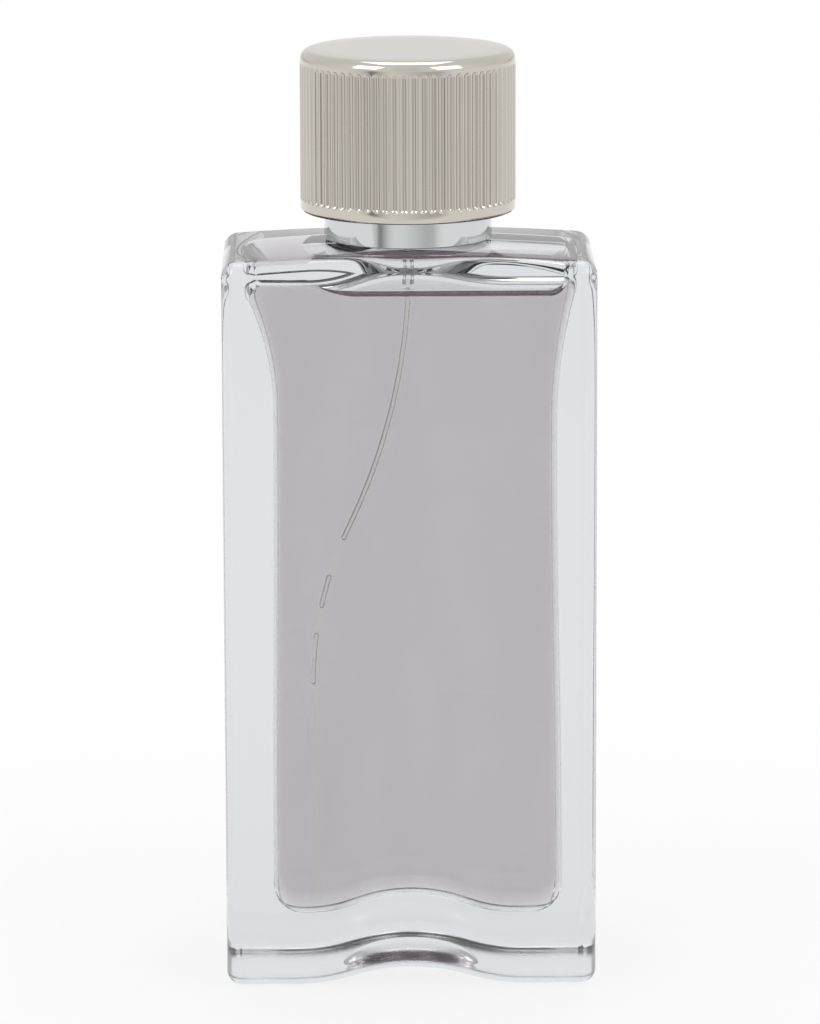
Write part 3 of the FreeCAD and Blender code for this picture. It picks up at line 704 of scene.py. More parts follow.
@dataclass(frozen=True)
class MouldedFinish(Finish):
    """Moulded plastic or rubber with a fine skin.

    Args:
        grain: Strength of the moulded skin.
        glow: How much light goes in under the skin.
        clear: Share of the light that passes through.
    """

    grain: float = 0.05
    glow: float = 0.0
    clear: float = 0.0

    def material(self, effects: Effects) -> Material:
        """Builds the moulded material.

        Args:
            effects: Shared node groups.

        Returns:
            The material.
        """
        weave = self.begin()
        group = self.drifting(weave, effects, tone=0.1, gloss=0.12, scale=220.0)
        weave.dress(Subsurface_Weight=self.glow, Subsurface_Radius=(0.0006, 0.0006, 0.0005), IOR=1.49,
                    Transmission_Weight=self.clear)
        weave.relief(self.grain, group.outputs["Height"])
        return weave.made


@dataclass(frozen=True)
class ClearFinish(Finish):
    """Clear solid that bends light.

    Args:
        bend: Refractive index against what lies outside it.
        marks: Strength of faint marks in its polish.
        cords: Strength of the soft upright streaks in poured glass.
        shade: Share of a lamp's light that passes.
    """

    bend: float = 1.5
    marks: float = 0.0
    cords: float = 0.0
    shade: float = 0.9

    def material(self, effects: Effects) -> Material:
        """Builds the clear material, which lets a lamp's light on to what lies behind.

        Args:
            effects: Shared node groups.

        Returns:
            The material.
        """
        weave = self.begin()
        weave.dress(IOR=self.bend, Transmission_Weight=1.0)
        if self.marks > 0.0:
            marks = weave.group(effects.scuffs, Scale=70.0, Density=0.36)
            weave.dress(Roughness=weave.fused(marks.outputs["Mask"], self.marks, self.roughness))
        if self.cords > 0.0:
            cords = weave.group(effects.cords, Tone=(*self.tone, 1.0), Depth=self.cords)
            weave.dress(Base_Color=cords.outputs["Color"])
        passing = weave.add("ShaderNodeBsdfTransparent", i0=(self.shade, self.shade, self.shade, 1.0))
        shadow = weave.node("ShaderNodeLightPath").outputs["Is Shadow Ray"]
        weave.blend(shadow, weave.shader, passing)
        return weave.made


@dataclass(frozen=True)
class LiquidFinish(Finish):
    """Tinted liquid that meets glass at its sides and air at its top.

    Args:
        tint: Colour that its depth leaves.
        density: Strength of the tint per metre.
        bend: Refractive index against air.
    """

    tint: Colour = WHITE
    density: float = 1.0
    bend: float = 1.36

    def material(self, effects: Effects) -> Material:
        """Builds the liquid, which bends light only where it meets air.

        Args:
            effects: Shared node groups.

        Returns:
            The material.
        """
        weave = self.begin()
        weave.dress(IOR=self.bend, Transmission_Weight=1.0)
        meeting = weave.node("ShaderNodeBsdfTransparent")
        top = weave.node("ShaderNodeAttribute", attribute_name="meets_air").outputs["Fac"]
        lit = weave.math("SUBTRACT", 1.0, weave.node("ShaderNodeLightPath").outputs["Is Shadow Ray"])
        weave.blend(weave.math("MULTIPLY", top, lit), meeting, weave.shader)
        depth = weave.add("ShaderNodeVolumeAbsorption", Color=(*self.tint, 1.0), Density=self.density)
        weave.feed(weave.output, Volume=depth.outputs[0])
        return weave.made


@dataclass(frozen=True)
class AirFinish(Finish):
    """Air enclosed in liquid.

    Args:
        bend: Refractive index of air against the liquid.
    """

    bend: float = 0.735

    def material(self, effects: Effects) -> Material:
        """Builds the enclosed air.

        Args:
            effects: Shared node groups.

        Returns:
            The material.
        """
        weave = self.begin()
        weave.tree.nodes.remove(weave.shader)
        glass = weave.add("ShaderNodeBsdfGlass", Color=(*self.tone, 1.0), Roughness=self.roughness, IOR=self.bend)
        weave.feed(weave.output, Surface=glass.outputs[0])
        return weave.made


class Dresser:
    """Makes pieces of meshes and dresses them, with each finish built once."""

    def __init__(self) -> None:
        """Builds the shared node groups."""
        self.effects = Effects()
        self.materials: dict[Finish, Material] = {}
        self.dressed: list[Object] = []

    def material(self, finish: Finish) -> Material:
        """Material of a finish.

        Args:
            finish: The finish.

        Returns:
            Its material, which is built at the first call.
        """
        if finish not in self.materials:
            self.materials[finish] = finish.material(self.effects)
        return self.materials[finish]

    def piece(self, name: str, bm: BMesh, body: str, finishes: tuple[Finish, ...], *nodes: str,
              crease: float = CREASE) -> Object:
        """Makes a piece of a mesh, dresses it and puts it in the frame.

        Args:
            name: Name of the piece.
            bm: Its mesh in millimetres, which is freed.
            body: CAD body that it rides on.
            finishes: Finish of each material place.
            nodes: CAD nodes that it stands for.
            crease: Angle in degrees above which an edge stays sharp.

        Returns:
            The piece.
        """
        obj = to_object(name, smoothed(bm, crease))
        for finish in finishes:
            obj.data.materials.append(self.material(finish))
        even = obj.modifiers.new("even_shading", "WEIGHTED_NORMAL")
        even.keep_sharp = True
        even.weight = FACE_WEIGHT
        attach(obj, body)
        if nodes:
            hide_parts(*nodes)
        self.dressed.append(obj)
        return obj

    def node(self, name: str, finish: Finish) -> None:
        """Gives a CAD node its finish.

        Args:
            name: Name of the node.
            finish: Its finish.
        """
        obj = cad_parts[name]
        obj.data.materials.clear()
        obj.data.materials.append(self.material(finish))
        self.dressed.append(obj)


@dataclass(frozen=True)
class SideWall:
    """One inner side wall of the glass, in millimetres.

    Args:
        thickness: Thickness of the glass at the foot.
        waist: How much thicker the glass is at the waist.
        waist_height: Height of the waist.
        flare: Radius of the flare above the waist.
        flare_steps: Number of chords of the flare.
        ceiling_drop: How far the ceiling lies under the shoulder's edge.
        tuck: How far the wall's head is drawn in at the front and back.
    """

    thickness: float
    waist: float
    waist_height: float
    flare: float
    flare_steps: int
    ceiling_drop: float
    tuck: float


@dataclass
class GlassBody:
    """Thick glass bottle with uneven inner walls, arched foot and crimp neck, in millimetres."""

    shoulder_rise: float = 1.4
    shoulder_corner: float = 2.1
    shoulder_steps: int = 48
    fall_share: float = 0.5
    fall_strips: int = 24
    foot_corner: float = 1.95
    corner_steps: int = 20
    face_edge: float = 1.8
    face_edge_strips: int = 14
    arch_half_span: float = 15.0
    arch_rise: float = 2.25
    foot_satin: float = 0.15
    recess_half_width: float = 9.0
    recess_half_depth: float = 7.5
    recess_rise: float = 4.0
    recess_steps: int = 96
    face_wall: float = 4.95
    left: SideWall = SideWall(
        thickness=6.1, waist=0.4, waist_height=76.0, flare=28.5, flare_steps=24, ceiling_drop=3.0, tuck=2.6)
    right: SideWall = SideWall(
        thickness=4.3, waist=0.7, waist_height=74.0, flare=58.0, flare_steps=16, ceiling_drop=2.0, tuck=0.8)
    tuck_start: float = 8.0
    floor: float = 8.8
    floor_rise: float = 2.65
    floor_half_span: float = 13.4
    floor_corner: float = 4.0
    cavity_edge: float = 1.6
    cavity_edge_strips: int = 10
    ceiling_corner: float = 1.75
    inner_steps: int = 12
    throat_half_span: float = 13.0
    throat_rise: float = 1.5
    dome: float = 0.6
    dome_foot: float = 80.0
    dome_strips: int = 12
    neck_height: float = 6.8
    neck_steps: int = 96
    bead_radius: float = 7.4
    bead_height: float = 3.2
    bead_round: float = 0.4
    lip_round: float = 0.5
    relief_radius: float = 6.3
    bore_radius: float = 4.6
    bore_flare: float = 2.4
    bore_flare_steps: int = 8
    bore_overrun: float = 1.0

    def __post_init__(self) -> None:
        """Takes the outer sizes from the CAD node."""
        _, high = box_mm("glass_bottle")
        self.half_width = high.x
        self.half_depth = high.y
        self.neck_top = high.z
        self.crown = high.z - self.neck_height
        self.height = self.crown - self.shoulder_rise
        self.ceiling = self.height - self.right.ceiling_drop
        self.shoulder_radius = (self.half_width ** 2 + self.shoulder_rise ** 2) / (2.0 * self.shoulder_rise)

    def skin_outline(self) -> Outline:
        """Front outline of the outer skin.

        Returns:
            The outline.
        """
        half, radius, steps = self.half_width, self.shoulder_radius, self.corner_steps
        centre_z = self.crown - radius
        corner_x = half - self.shoulder_corner
        corner_z = centre_z + math.sqrt((radius - self.shoulder_corner) ** 2 - corner_x ** 2)
        reach = radius / (radius - self.shoulder_corner)
        top_x = corner_x * reach
        top_z = centre_z + (corner_z - centre_z) * reach
        foot_x = half - self.foot_corner
        pen = Outline()
        pen.start(-self.arch_half_span, 0.0)
        pen.swell_to(0.0, self.arch_rise)
        pen.swell_to(self.arch_half_span, 0.0)
        pen.line_to(foot_x, 0.0)
        pen.arc_to((foot_x, self.foot_corner), (half, self.foot_corner), steps)
        pen.line_to(half, corner_z)
        pen.arc_to((corner_x, corner_z), (top_x, top_z), steps)
        pen.arc_to((0.0, centre_z), (-top_x, top_z), self.shoulder_steps)
        pen.arc_to((-corner_x, corner_z), (-half, corner_z), steps)
        pen.line_to(-half, self.foot_corner)
        pen.arc_to((-foot_x, self.foot_corner), (-foot_x, 0.0), steps)
        return pen

    def _skin(self) -> BMesh:
        """Outer skin with a satin foot, whose domed shoulder falls away to the front and back edges.

        Returns:
            The closed mesh.
        """
        bm = prism(self.skin_outline(), self.half_depth, self.face_edge, self.face_edge_strips)
        sliced(bm, self.half_depth - self.face_edge, self.fall_strips)
        radius = self.shoulder_radius
        for vert in bm.verts:
            if vert.co.z > self.height / 2.0:
                rise = math.sqrt(radius * radius - vert.co.x ** 2) - radius + self.shoulder_rise
                vert.co.z -= self.fall_share * rise * (vert.co.y / self.half_depth) ** 2
        bm.normal_update()
        for face in bm.faces:
            if face.normal.z < -self.foot_satin:
                face.material_index = WallMark.STIPPLED.value
        return bm

    def _wall(self, side: int, inset: float) -> dict[str, Place]:
        """Corner places of one inner side wall.

        Args:
            side: -1 for left and 1 for right.
            inset: How far the outline is drawn in.

        Returns:
            The places by name.
        """
        wall = self.left if side < 0 else self.right
        foot = self.half_width - wall.thickness - inset
        waist = foot - wall.waist
        flare = wall.flare + inset
        top_z = self.height - wall.ceiling_drop - inset
        corner = self.ceiling_corner - inset
        floor_corner = self.floor_corner - inset
        climb = (top_z - corner - wall.waist_height) / (flare + corner)
        lean = math.cos(math.asin(climb))
        corner_x = waist + flare - (flare + corner) * lean
        floor_z = self.floor + inset
        return {
            "floor": (side * (foot - floor_corner), floor_z),
            "floor_centre": (side * (foot - floor_corner), floor_z + floor_corner),
            "foot": (side * foot, floor_z + floor_corner),
            "waist": (side * waist, wall.waist_height),
            "flare_centre": (side * (waist + flare), wall.waist_height),
            "flare_end": (side * (waist + flare * (1.0 - lean)), wall.waist_height + flare * climb),
            "corner_centre": (side * corner_x, top_z - corner),
            "ceiling": (side * corner_x, top_z),
        }

    def cavity_outline(self, inset: float) -> Outline:
        """Front outline of the inner space.

        Args:
            inset: How far the outline is drawn in.

        Returns:
            The outline.
        """
        left, right = self._wall(-1, inset), self._wall(1, inset)
        steps = self.inner_steps
        pen = Outline()
        pen.start(*left["floor"])
        pen.line_to(-self.floor_half_span, left["floor"][1])
        pen.swell_to(0.0, self.floor + self.floor_rise + inset)
        pen.swell_to(self.floor_half_span, right["floor"][1])
        pen.line_to(*right["floor"])
        pen.arc_to(right["floor_centre"], right["foot"], steps)
        pen.swell_to(*right["waist"], upright=True)
        pen.arc_to(right["flare_centre"], right["flare_end"], self.right.flare_steps)
        pen.arc_to(right["corner_centre"], right["ceiling"], steps)
        pen.line_to(self.throat_half_span, right["ceiling"][1])
        pen.swell_to(0.0, self.ceiling + self.throat_rise - inset)
        pen.swell_to(-self.throat_half_span, left["ceiling"][1])
        pen.line_to(*left["ceiling"])
        pen.arc_to(left["corner_centre"], left["flare_end"], steps)
        pen.arc_to(left["flare_centre"], left["waist"], self.left.flare_steps)
        pen.swell_to(*left["foot"], upright=True)
        pen.arc_to(left["floor_centre"], left["floor"], steps)
        return Outline(pen.points[:-1])

    def cavity(self, inset: float = 0.0) -> BMesh:
        """Closed mesh of the inner space below the neck, with its ceiling domed in depth.

        Args:
            inset: How far the space is drawn in.

        Returns:
            The mesh, in millimetres.
        """
        half = self.half_depth - self.face_wall - inset
        bm = prism(self.cavity_outline(inset), half, self.cavity_edge - inset, self.cavity_edge_strips)
        sliced(bm, half - self.cavity_edge, self.dome_strips)
        reach = self.height - self.dome_foot
        for vert in bm.verts:
            climb = max(0.0, (vert.co.z - self.dome_foot) / reach)
            away = climb * climb * (vert.co.y / half) ** 2
            outer = max(0.0, (abs(vert.co.x) - self.tuck_start) / (self.half_width - self.tuck_start))
            tuck = self.left.tuck if vert.co.x < 0.0 else -self.right.tuck
            vert.co.z -= self.dome * away
            vert.co.x += tuck * outer * away
        return bm

    def _recess(self) -> BMesh:
        """Rounded tool for the shallow hollow in the middle of the underside.

        Returns:
            The closed mesh.
        """
        bm = bmesh.new()
        bmesh.ops.create_uvsphere(bm, u_segments=self.recess_steps, v_segments=self.recess_steps // 2, radius=1.0)
        size = (self.recess_half_width, self.recess_half_depth, self.recess_rise)
        bmesh.ops.scale(bm, verts=bm.verts[:], vec=size)
        marked(bm, WallMark.STIPPLED)
        return bm

    def _hollow(self, air: BMesh) -> BMesh:
        """Inner space with its walls marked where liquid wets them.

        Args:
            air: Bubble under the shoulder, which is freed.

        Returns:
            The closed mesh.
        """
        shells: dict[WallMark, BMesh] = {
            WallMark.WET: carved(self.cavity(), air.copy(), Carving.CUT),
            WallMark.DRY: carved(self.cavity(), air, Carving.MEET),
        }
        joint = bpy.data.meshes.new("inner_walls")
        whole = bmesh.new()
        for mark, shell in shells.items():
            spare = [face for face in shell.faces if face.material_index == WallMark.SURFACE.value]
            bmesh.ops.delete(shell, geom=spare, context="FACES")
            marked(shell, mark)
            shell.to_mesh(joint)
            shell.free()
            whole.from_mesh(joint)
        bpy.data.meshes.remove(joint)
        bmesh.ops.remove_doubles(whole, verts=whole.verts[:], dist=SHELL_MERGE)
        bmesh.ops.recalc_face_normals(whole, faces=whole.faces[:])
        return whole

    def _neck(self) -> BMesh:
        """Outside of the neck with its bead.

        Returns:
            The closed mesh.
        """
        bead_z = self.neck_top - self.bead_height
        step = self.bead_radius - self.relief_radius
        root = self.ceiling + self.bore_flare
        return turned(filleted([
            (0.0, root, 0.0), (self.relief_radius, root, 0.0), (self.relief_radius, bead_z - step, self.bead_round),
            (self.bead_radius, bead_z, self.bead_round), (self.bead_radius, self.neck_top, self.lip_round),
            (0.0, self.neck_top, 0.0),
        ]), self.neck_steps)

    def _bore(self) -> BMesh:
        """Bore of the neck, opening out into the inner space.

        Returns:
            The closed mesh.
        """
        low, high = self.ceiling, self.neck_top + self.bore_overrun
        wide, flare = self.bore_radius + self.bore_flare, low + self.bore_flare
        pen = Outline()
        pen.start(0.0, low)
        pen.line_to(wide, low)
        pen.arc_to((wide, flare), (self.bore_radius, flare), self.bore_flare_steps)
        pen.line_to(self.bore_radius, high)
        pen.line_to(0.0, high)
        return turned(pen.profile(), self.neck_steps)

    def build(self, air: BMesh, dresser: Dresser) -> None:
        """Builds the bottle, with its finishes in the order of the wall marks.

        Args:
            air: Bubble under the shoulder, which is freed.
            dresser: Maker of the piece.
        """
        body = carved(self._skin(), self._neck(), Carving.JOIN)
        body = carved(body, self._recess(), Carving.CUT)
        hollow = carved(self._hollow(air), self._bore(), Carving.JOIN)
        bm = carved(body, hollow, Carving.CUT)
        slot = "clear_glass"
        dresser.piece("glass_body", bm, "bottle", (
            ClearFinish("clear_flint_glass", slot, FLINT, 0.0, bend=1.5, marks=0.04),
            ClearFinish("wetted_flint_glass", slot, WHITE, 0.0, bend=1.103, shade=1.0, cords=0.07),
            ClearFinish("inner_flint_glass", slot, WHITE, 0.0, bend=1.5, shade=1.0, cords=0.03),
            ClearFinish("stippled_flint_glass", slot, FLINT, 0.2, bend=1.5, marks=0.02),
        ), "glass_bottle")


@dataclass
class DipTube:
    """Thin clear tube that bends to the lower left, with slugs of air in it, in millimetres."""

    radius: float = 0.75
    sides: int = 20
    bore: float = 0.35
    bore_sides: int = 16
    bore_overrun: float = 1.0
    upper_bend: float = 72.0
    upper_steps: int = 48
    lower_bend: float = 44.8
    lower_steps: int = 40
    bend_degrees: float = 27.7
    bend_start: float = 0.35
    socket_depth: float = 1.6
    heading_degrees: float = 20.0
    slugs: tuple[Place, ...] = ((57.9, 90.2), (49.1, 53.4), (39.0, 45.8))
    slug_radius: float = 0.33
    slug_tip: float = 0.004
    slug_end_steps: int = 6
    slug_pitch: float = 0.8
    slug_least_steps: int = 8

    def __post_init__(self) -> None:
        """Takes the ends from the CAD node and draws the centre line."""
        low, high = box_mm("dip_tube")
        self.foot = low.z
        self.head = high.z
        heading = math.radians(self.heading_degrees)
        self.side = Vector((-math.sin(heading), math.cos(heading), 0.0))
        self.way = Vector((-math.cos(heading), -math.sin(heading), 0.0))
        self.route = self._route()

    def _route(self) -> list[Vector]:
        """Centre line from the pump down to the floor.

        Returns:
            Its points.
        """
        turn = math.radians(self.bend_degrees)
        top = self.head - self.socket_depth - self.bend_start
        upper_x = self.upper_bend * (1.0 - math.cos(turn))
        upper_z = top - self.upper_bend * math.sin(turn)
        lower_x = upper_x + self.lower_bend * (1.0 - math.cos(turn))
        lower_z = upper_z - self.lower_bend * math.sin(turn)
        pen = Outline()
        pen.start(0.0, self.head)
        pen.line_to(0.0, top)
        pen.arc_to((self.upper_bend, top), (upper_x, upper_z), self.upper_steps)
        pen.arc_to((lower_x - self.lower_bend, lower_z), (lower_x, lower_z), self.lower_steps)
        pen.line_to(lower_x, self.foot)
        return [self.way * place.x + Vector((0.0, 0.0, place.y)) for place in pen.points]

    def rod(self, clearance: float = 0.0) -> BMesh:
        """Closed round rod along the centre line, wider than the tube by a clearance."""
        return swept(self.route, [self.radius + clearance] * len(self.route), self.side, self.sides)

    def _through(self) -> BMesh:
        """Rod of the bore, long enough to cut both ends open.

        Returns:
            The closed mesh.
        """
        past = Vector((0.0, 0.0, self.bore_overrun))
        route = [self.route[0] + past, *self.route, self.route[-1] - past]
        return swept(route, [self.bore] * len(route), self.side, self.bore_sides)

    def _at(self, height: float) -> Vector:
        """Point of the centre line at a height.

        Args:
            height: The height.

        Returns:
            The point, which is the lower end where the line doesn't reach the height.
        """
        for above, below in zip(self.route, self.route[1:]):
            if above.z >= height >= below.z:
                return above.lerp(below, (above.z - height) / max(above.z - below.z, SLIVER))
        return self.route[-1]

    def _slug(self, low: float, high: float) -> BMesh:
        """One slug of air with round ends.

        Args:
            low: Height of its lower end.
            high: Height of its upper end.

        Returns:
            The closed mesh.
        """
        radius, steps = self.slug_radius, self.slug_end_steps
        ends = [math.radians(90.0 * step / steps) for step in range(steps + 1)]
        dome = [radius * (1.0 - math.cos(angle)) for angle in ends]
        girth = [max(radius * math.sin(angle), self.slug_tip) for angle in ends]
        count = max(self.slug_least_steps, int((high - low) / self.slug_pitch))
        span = high - low - 2.0 * radius
        middle = [low + radius + span * step / count for step in range(1, count)]
        heights = [low + rise for rise in dome] + middle + [high - rise for rise in reversed(dome)]
        radii = girth + [radius] * len(middle) + girth[::-1]
        return swept([self._at(height) for height in heights], radii, self.side, self.bore_sides)

    def build(self, fill_line: float, dresser: Dresser) -> None:
        """Builds the tube, dry above the fill line and wet below it, and its slugs of air.

        Args:
            fill_line: Height of the liquid.
            dresser: Maker of the pieces.
        """
        slot = "clear_tube"
        bm = carved(self.rod(), self._through(), Carving.CUT)
        scored(bm, (0.0, 0.0, fill_line), (0.0, 0.0, 1.0))
        for face in bm.faces:
            face.material_index = int(face.calc_center_median().z < fill_line)
        dresser.piece("dip_tube_clear", bm, "bottle", (
            ClearFinish("clear_tube_in_air", slot, (0.96, 0.96, 0.95), 0.02, bend=1.35),
            ClearFinish("clear_tube_in_liquid", slot, (0.985, 0.985, 0.96), 0.0, bend=1.006, shade=1.0),
        ), "dip_tube")
        air = AirFinish("air_in_liquid", slot, WHITE, 0.0)
        for number, (low, high) in enumerate(self.slugs, start=1):
            dresser.piece(f"air_slug_{number}", self._slug(low, high), "bottle", (air,), crease=SLUG_CREASE)


@dataclass
class Fill:
    """Liquid under a flat bubble of air, drawn up a little where it meets the glass, in millimetres."""

    clearance: float = 0.06
    sag: float = 0.35
    bubble_left: float = -6.6
    bubble_left_curl: float = 2.0
    bubble_left_bow: float = 13.0
    bubble_left_degrees: float = 60.0
    bubble_left_steps: int = 40
    bubble_right: float = 17.9
    bubble_right_round: float = 2.6
    bubble_right_steps: int = 20
    creep_round: float = 1.5
    creep_strips: int = 12
    creep_reach: float = 0.06

    def __post_init__(self) -> None:
        """Takes the fill line from the CAD node."""
        self.line = box_mm("aftershave_liquid")[1].z

    def bubble(self, glass: GlassBody) -> BMesh:
        """Bubble of air, which reaches up past the ceiling.

        Args:
            glass: Bottle that holds it.

        Returns:
            The closed mesh, with its faces marked as the liquid's surface.
        """
        bow, turn = self.bubble_left_bow, math.radians(self.bubble_left_degrees)
        level = self.line - self.sag
        top = level + bow * (1.0 - math.cos(turn))
        run = bow * math.sin(turn)
        right, right_round = self.bubble_right, self.bubble_right_round
        pen = Outline()
        pen.start(self.bubble_left - run, top)
        pen.arc_to((self.bubble_left, level + bow), (self.bubble_left, level), self.bubble_left_steps)
        pen.line_to(right, level)
        pen.arc_to((right, level + right_round), (right + right_round, level + right_round), self.bubble_right_steps)
        pen.line_to(right + right_round, top)
        half = glass.half_depth - glass.face_wall + self.creep_reach
        bm = prism(pen, half, self.creep_round, self.creep_strips)
        sliced(bm, half - self.creep_round, glass.dome_strips)
        for vert in bm.verts:
            beyond = max(0.0, self.bubble_left - vert.co.x) / run
            vert.co.x += self.bubble_left_curl * beyond * (vert.co.y / half) ** 2
        meets_air = bm.faces.layers.float.new("meets_air")
        for face in bm.faces:
            face[meets_air] = 1.0
        marked(bm, WallMark.SURFACE)
        return bm

    def build(self, glass: GlassBody, tube: DipTube, dresser: Dresser) -> None:
        """Builds the liquid.

        Args:
            glass: Bottle that holds it.
            tube: Dip tube that stands in it.
            dresser: Maker of the piece.
        """
        bm = glass.cavity(self.clearance)
        bm.faces.layers.float.new("meets_air")
        bm = carved(bm, self.bubble(glass), Carving.CUT)
        bm = carved(bm, tube.rod(self.clearance), Carving.CUT)
        marked(bm, WallMark.SKIN)
        mauve = LiquidFinish("pale_mauve_liquid", "tinted_liquid", WHITE, 0.0, tint=(0.21, 0.08, 0.16), density=30.0)
        dresser.piece("aftershave_fill", bm, "bottle", (mauve,), "aftershave_liquid")


@dataclass
class Collar:
    """Bright collar on the shoulder, in millimetres."""

    sheet: float = 0.45
    lip_radius: float = 7.3
    lip_round: float = 0.15
    top_round: float = 0.45
    foot_round: float = 0.16
    foot_drop: float = 0.2
    inner_round: float = 0.1
    steps: int = 192

    def build(self, dresser: Dresser) -> None:
        """Builds the collar's sleeve.

        Args:
            dresser: Maker of the piece.
        """
        low, high = box_mm("collar_sleeve")
        radius, top = high.x, high.z
        foot = low.z - self.foot_drop
        inner, under = radius - self.sheet, top - self.sheet
        bm = turned(filleted([
            (inner, foot, self.inner_round), (radius, foot, self.foot_round), (radius, top, self.top_round),
            (self.lip_radius, top, self.lip_round), (self.lip_radius, under, self.inner_round),
            (inner, under, self.inner_round),
        ]), self.steps)
        mirror = MetalFinish("mirror_collar", "collar_mirror", (0.64, 0.65, 0.655), 0.035, line_depth=0.004, marks=0.03)
        dresser.piece("collar_sleeve_bright", bm, "bottle", (mirror,), "collar_sleeve")


@dataclass
class Cap:
    """Lift-off cap with ball-ended flutes, in millimetres."""

    wall: float = 0.95
    wall_rings: int = 6
    wall_margin: float = 0.12
    wall_tolerance: float = 0.01
    top_thickness: float = 0.8
    top_round: float = 1.3
    top_ring_share: float = 0.72
    foot_round: float = 0.5
    inner_round: float = 0.12
    flute_count: int = 72
    flute_radius: float = 0.62
    flute_depth: float = 0.25
    flute_foot: float = 1.5
    flute_head: float = 1.65
    flute_steps: int = 14
    flute_end_rings: int = 10
    hollow_share: float = 0.3

    def __post_init__(self) -> None:
        """Takes the outer sizes from the CAD node."""
        low, high = box_mm("cap_shell")
        self.radius = high.x
        self.foot = low.z
        self.top = high.z
        self.cutter_axis = self.radius + self.flute_radius - self.flute_depth
        self.run_out = math.sqrt(self.flute_radius ** 2 - (self.flute_radius - self.flute_depth) ** 2)
        self.flute_low = self.foot + self.flute_foot + self.run_out
        self.flute_high = self.top - self.flute_head - self.run_out

    def _wall_heights(self) -> list[float]:
        """Heights of the outer wall's rings between the two roundings.

        Returns:
            The heights from the foot up.
        """
        shares = [step / self.flute_end_rings for step in range(self.flute_end_rings + 1)]
        reach = [self.run_out * math.sin(share * math.pi / 2.0) for share in shares]
        low = [self.flute_low - span for span in reversed(reach)]
        high = [self.flute_high + span for span in reach]
        length = self.flute_high - self.flute_low
        middle = [self.flute_low + length * step / self.wall_rings for step in range(1, self.wall_rings)]
        return [low[0] - self.wall_margin, *low, *middle, *high, high[-1] + self.wall_margin]

    def _fluted_radius(self, angle: float, height: float) -> float:
        """Radius of the fluted wall.

        Args:
            angle: Direction round the axis.
            height: Height of the point.

        Returns:
            Its radius.
        """
        pitch = FULL_TURN / self.flute_count
        away = (angle / pitch) % 1.0 - 0.5
        sideways = math.sin(away * pitch) * self.cutter_axis
        past = max(self.flute_low - height, height - self.flute_high, 0.0)
        room = self.flute_radius ** 2 - past * past - sideways * sideways
        if room <= 0.0:
            return self.radius
        return min(self.radius, self.cutter_axis * math.cos(away * pitch) - math.sqrt(room))

    def build(self, dresser: Dresser) -> None:
        """Builds the cap's shell and marks how deep each point lies in a flute.

        Args:
            dresser: Maker of the piece.
        """
        inner = self.radius - self.wall
        ceiling = self.top - self.top_thickness
        outside = filleted([
            (inner, self.foot, self.inner_round), (self.radius, self.foot, self.foot_round),
            *((self.radius, height, 0.0) for height in self._wall_heights()),
            (self.radius, self.top, self.top_round), (self.radius * self.top_ring_share, self.top, 0.0),
            (0.0, self.top, 0.0),
        ])
        bm = turned(outside + [(0.0, ceiling), (inner, ceiling)], self.flute_count * self.flute_steps)
        # The hollow depth feeds the metal's painted shade in the flutes.
        hollow = bm.verts.layers.float.new("hollow")
        for vert in bm.verts:
            reach = math.hypot(vert.co.x, vert.co.y)
            if reach > self.radius - self.wall_tolerance:
                grown = self._fluted_radius(math.atan2(vert.co.y, vert.co.x), vert.co.z)
                vert.co.xy = vert.co.xy * (grown / reach)
                vert[hollow] = min(1.0, (self.radius - grown) / (self.flute_depth * self.hollow_share))
        champagne = MetalFinish("champagne_cap", "cap_metal", (0.595, 0.56, 0.5), 0.07, line_depth=0.02, marks=0.05,
                                painted_hollow_shade=0.12)
        dresser.piece("cap_shell_fluted", bm, "cap", (champagne,), "cap_shell", crease=ROUND_CREASE)


@dataclass
class SprayButton:
    """Bright skin of the spray button with its nozzle window, in millimetres."""

    sheet: float = 0.35
    steps: int = 144
    top_round: float = 0.55
    top_ring: float = 1.2
    foot_round: float = 0.12
    inner_round: float = 0.08
    window: float = 1.45
    window_depth: float = 4.0
    window_steps: int = 48

    def build(self, dresser: Dresser) -> None:
        """Builds the button's skin and cuts its window where the nozzle sits.

        Args:
            dresser: Maker of the piece.
        """
        low, high = box_mm("actuator_shell")
        insert_low, insert_high = box_mm("spray_insert")
        radius, top = high.x, high.z
        inner, under = radius - self.sheet, top - self.sheet
        bm = turned(filleted([
            (inner, low.z, self.inner_round), (radius, low.z, self.foot_round), (radius, top, self.top_round),
            (radius - self.top_ring, top, 0.0), (0.0, top, 0.0), (0.0, under, 0.0),
            (inner, under, self.top_round - self.sheet),
        ]), self.steps)
        tool = bmesh.new()
        bmesh.ops.create_cone(tool, cap_ends=True, segments=self.window_steps, radius1=self.window,
                              radius2=self.window, depth=self.window_depth)
        bmesh.ops.rotate(tool, verts=tool.verts[:], cent=(0, 0, 0), matrix=RAISED)
        nozzle_z = (insert_low.z + insert_high.z) / 2.0
        bmesh.ops.translate(tool, verts=tool.verts[:], vec=(0.0, -radius, nozzle_z))
        bm = carved(bm, tool, Carving.CUT)
        champagne = MetalFinish("champagne_button", "actuator_metal", (0.585, 0.55, 0.491), 0.09, line_depth=0.03)
        dresser.piece("button_skin", bm, "actuator", (champagne,), "actuator_shell")


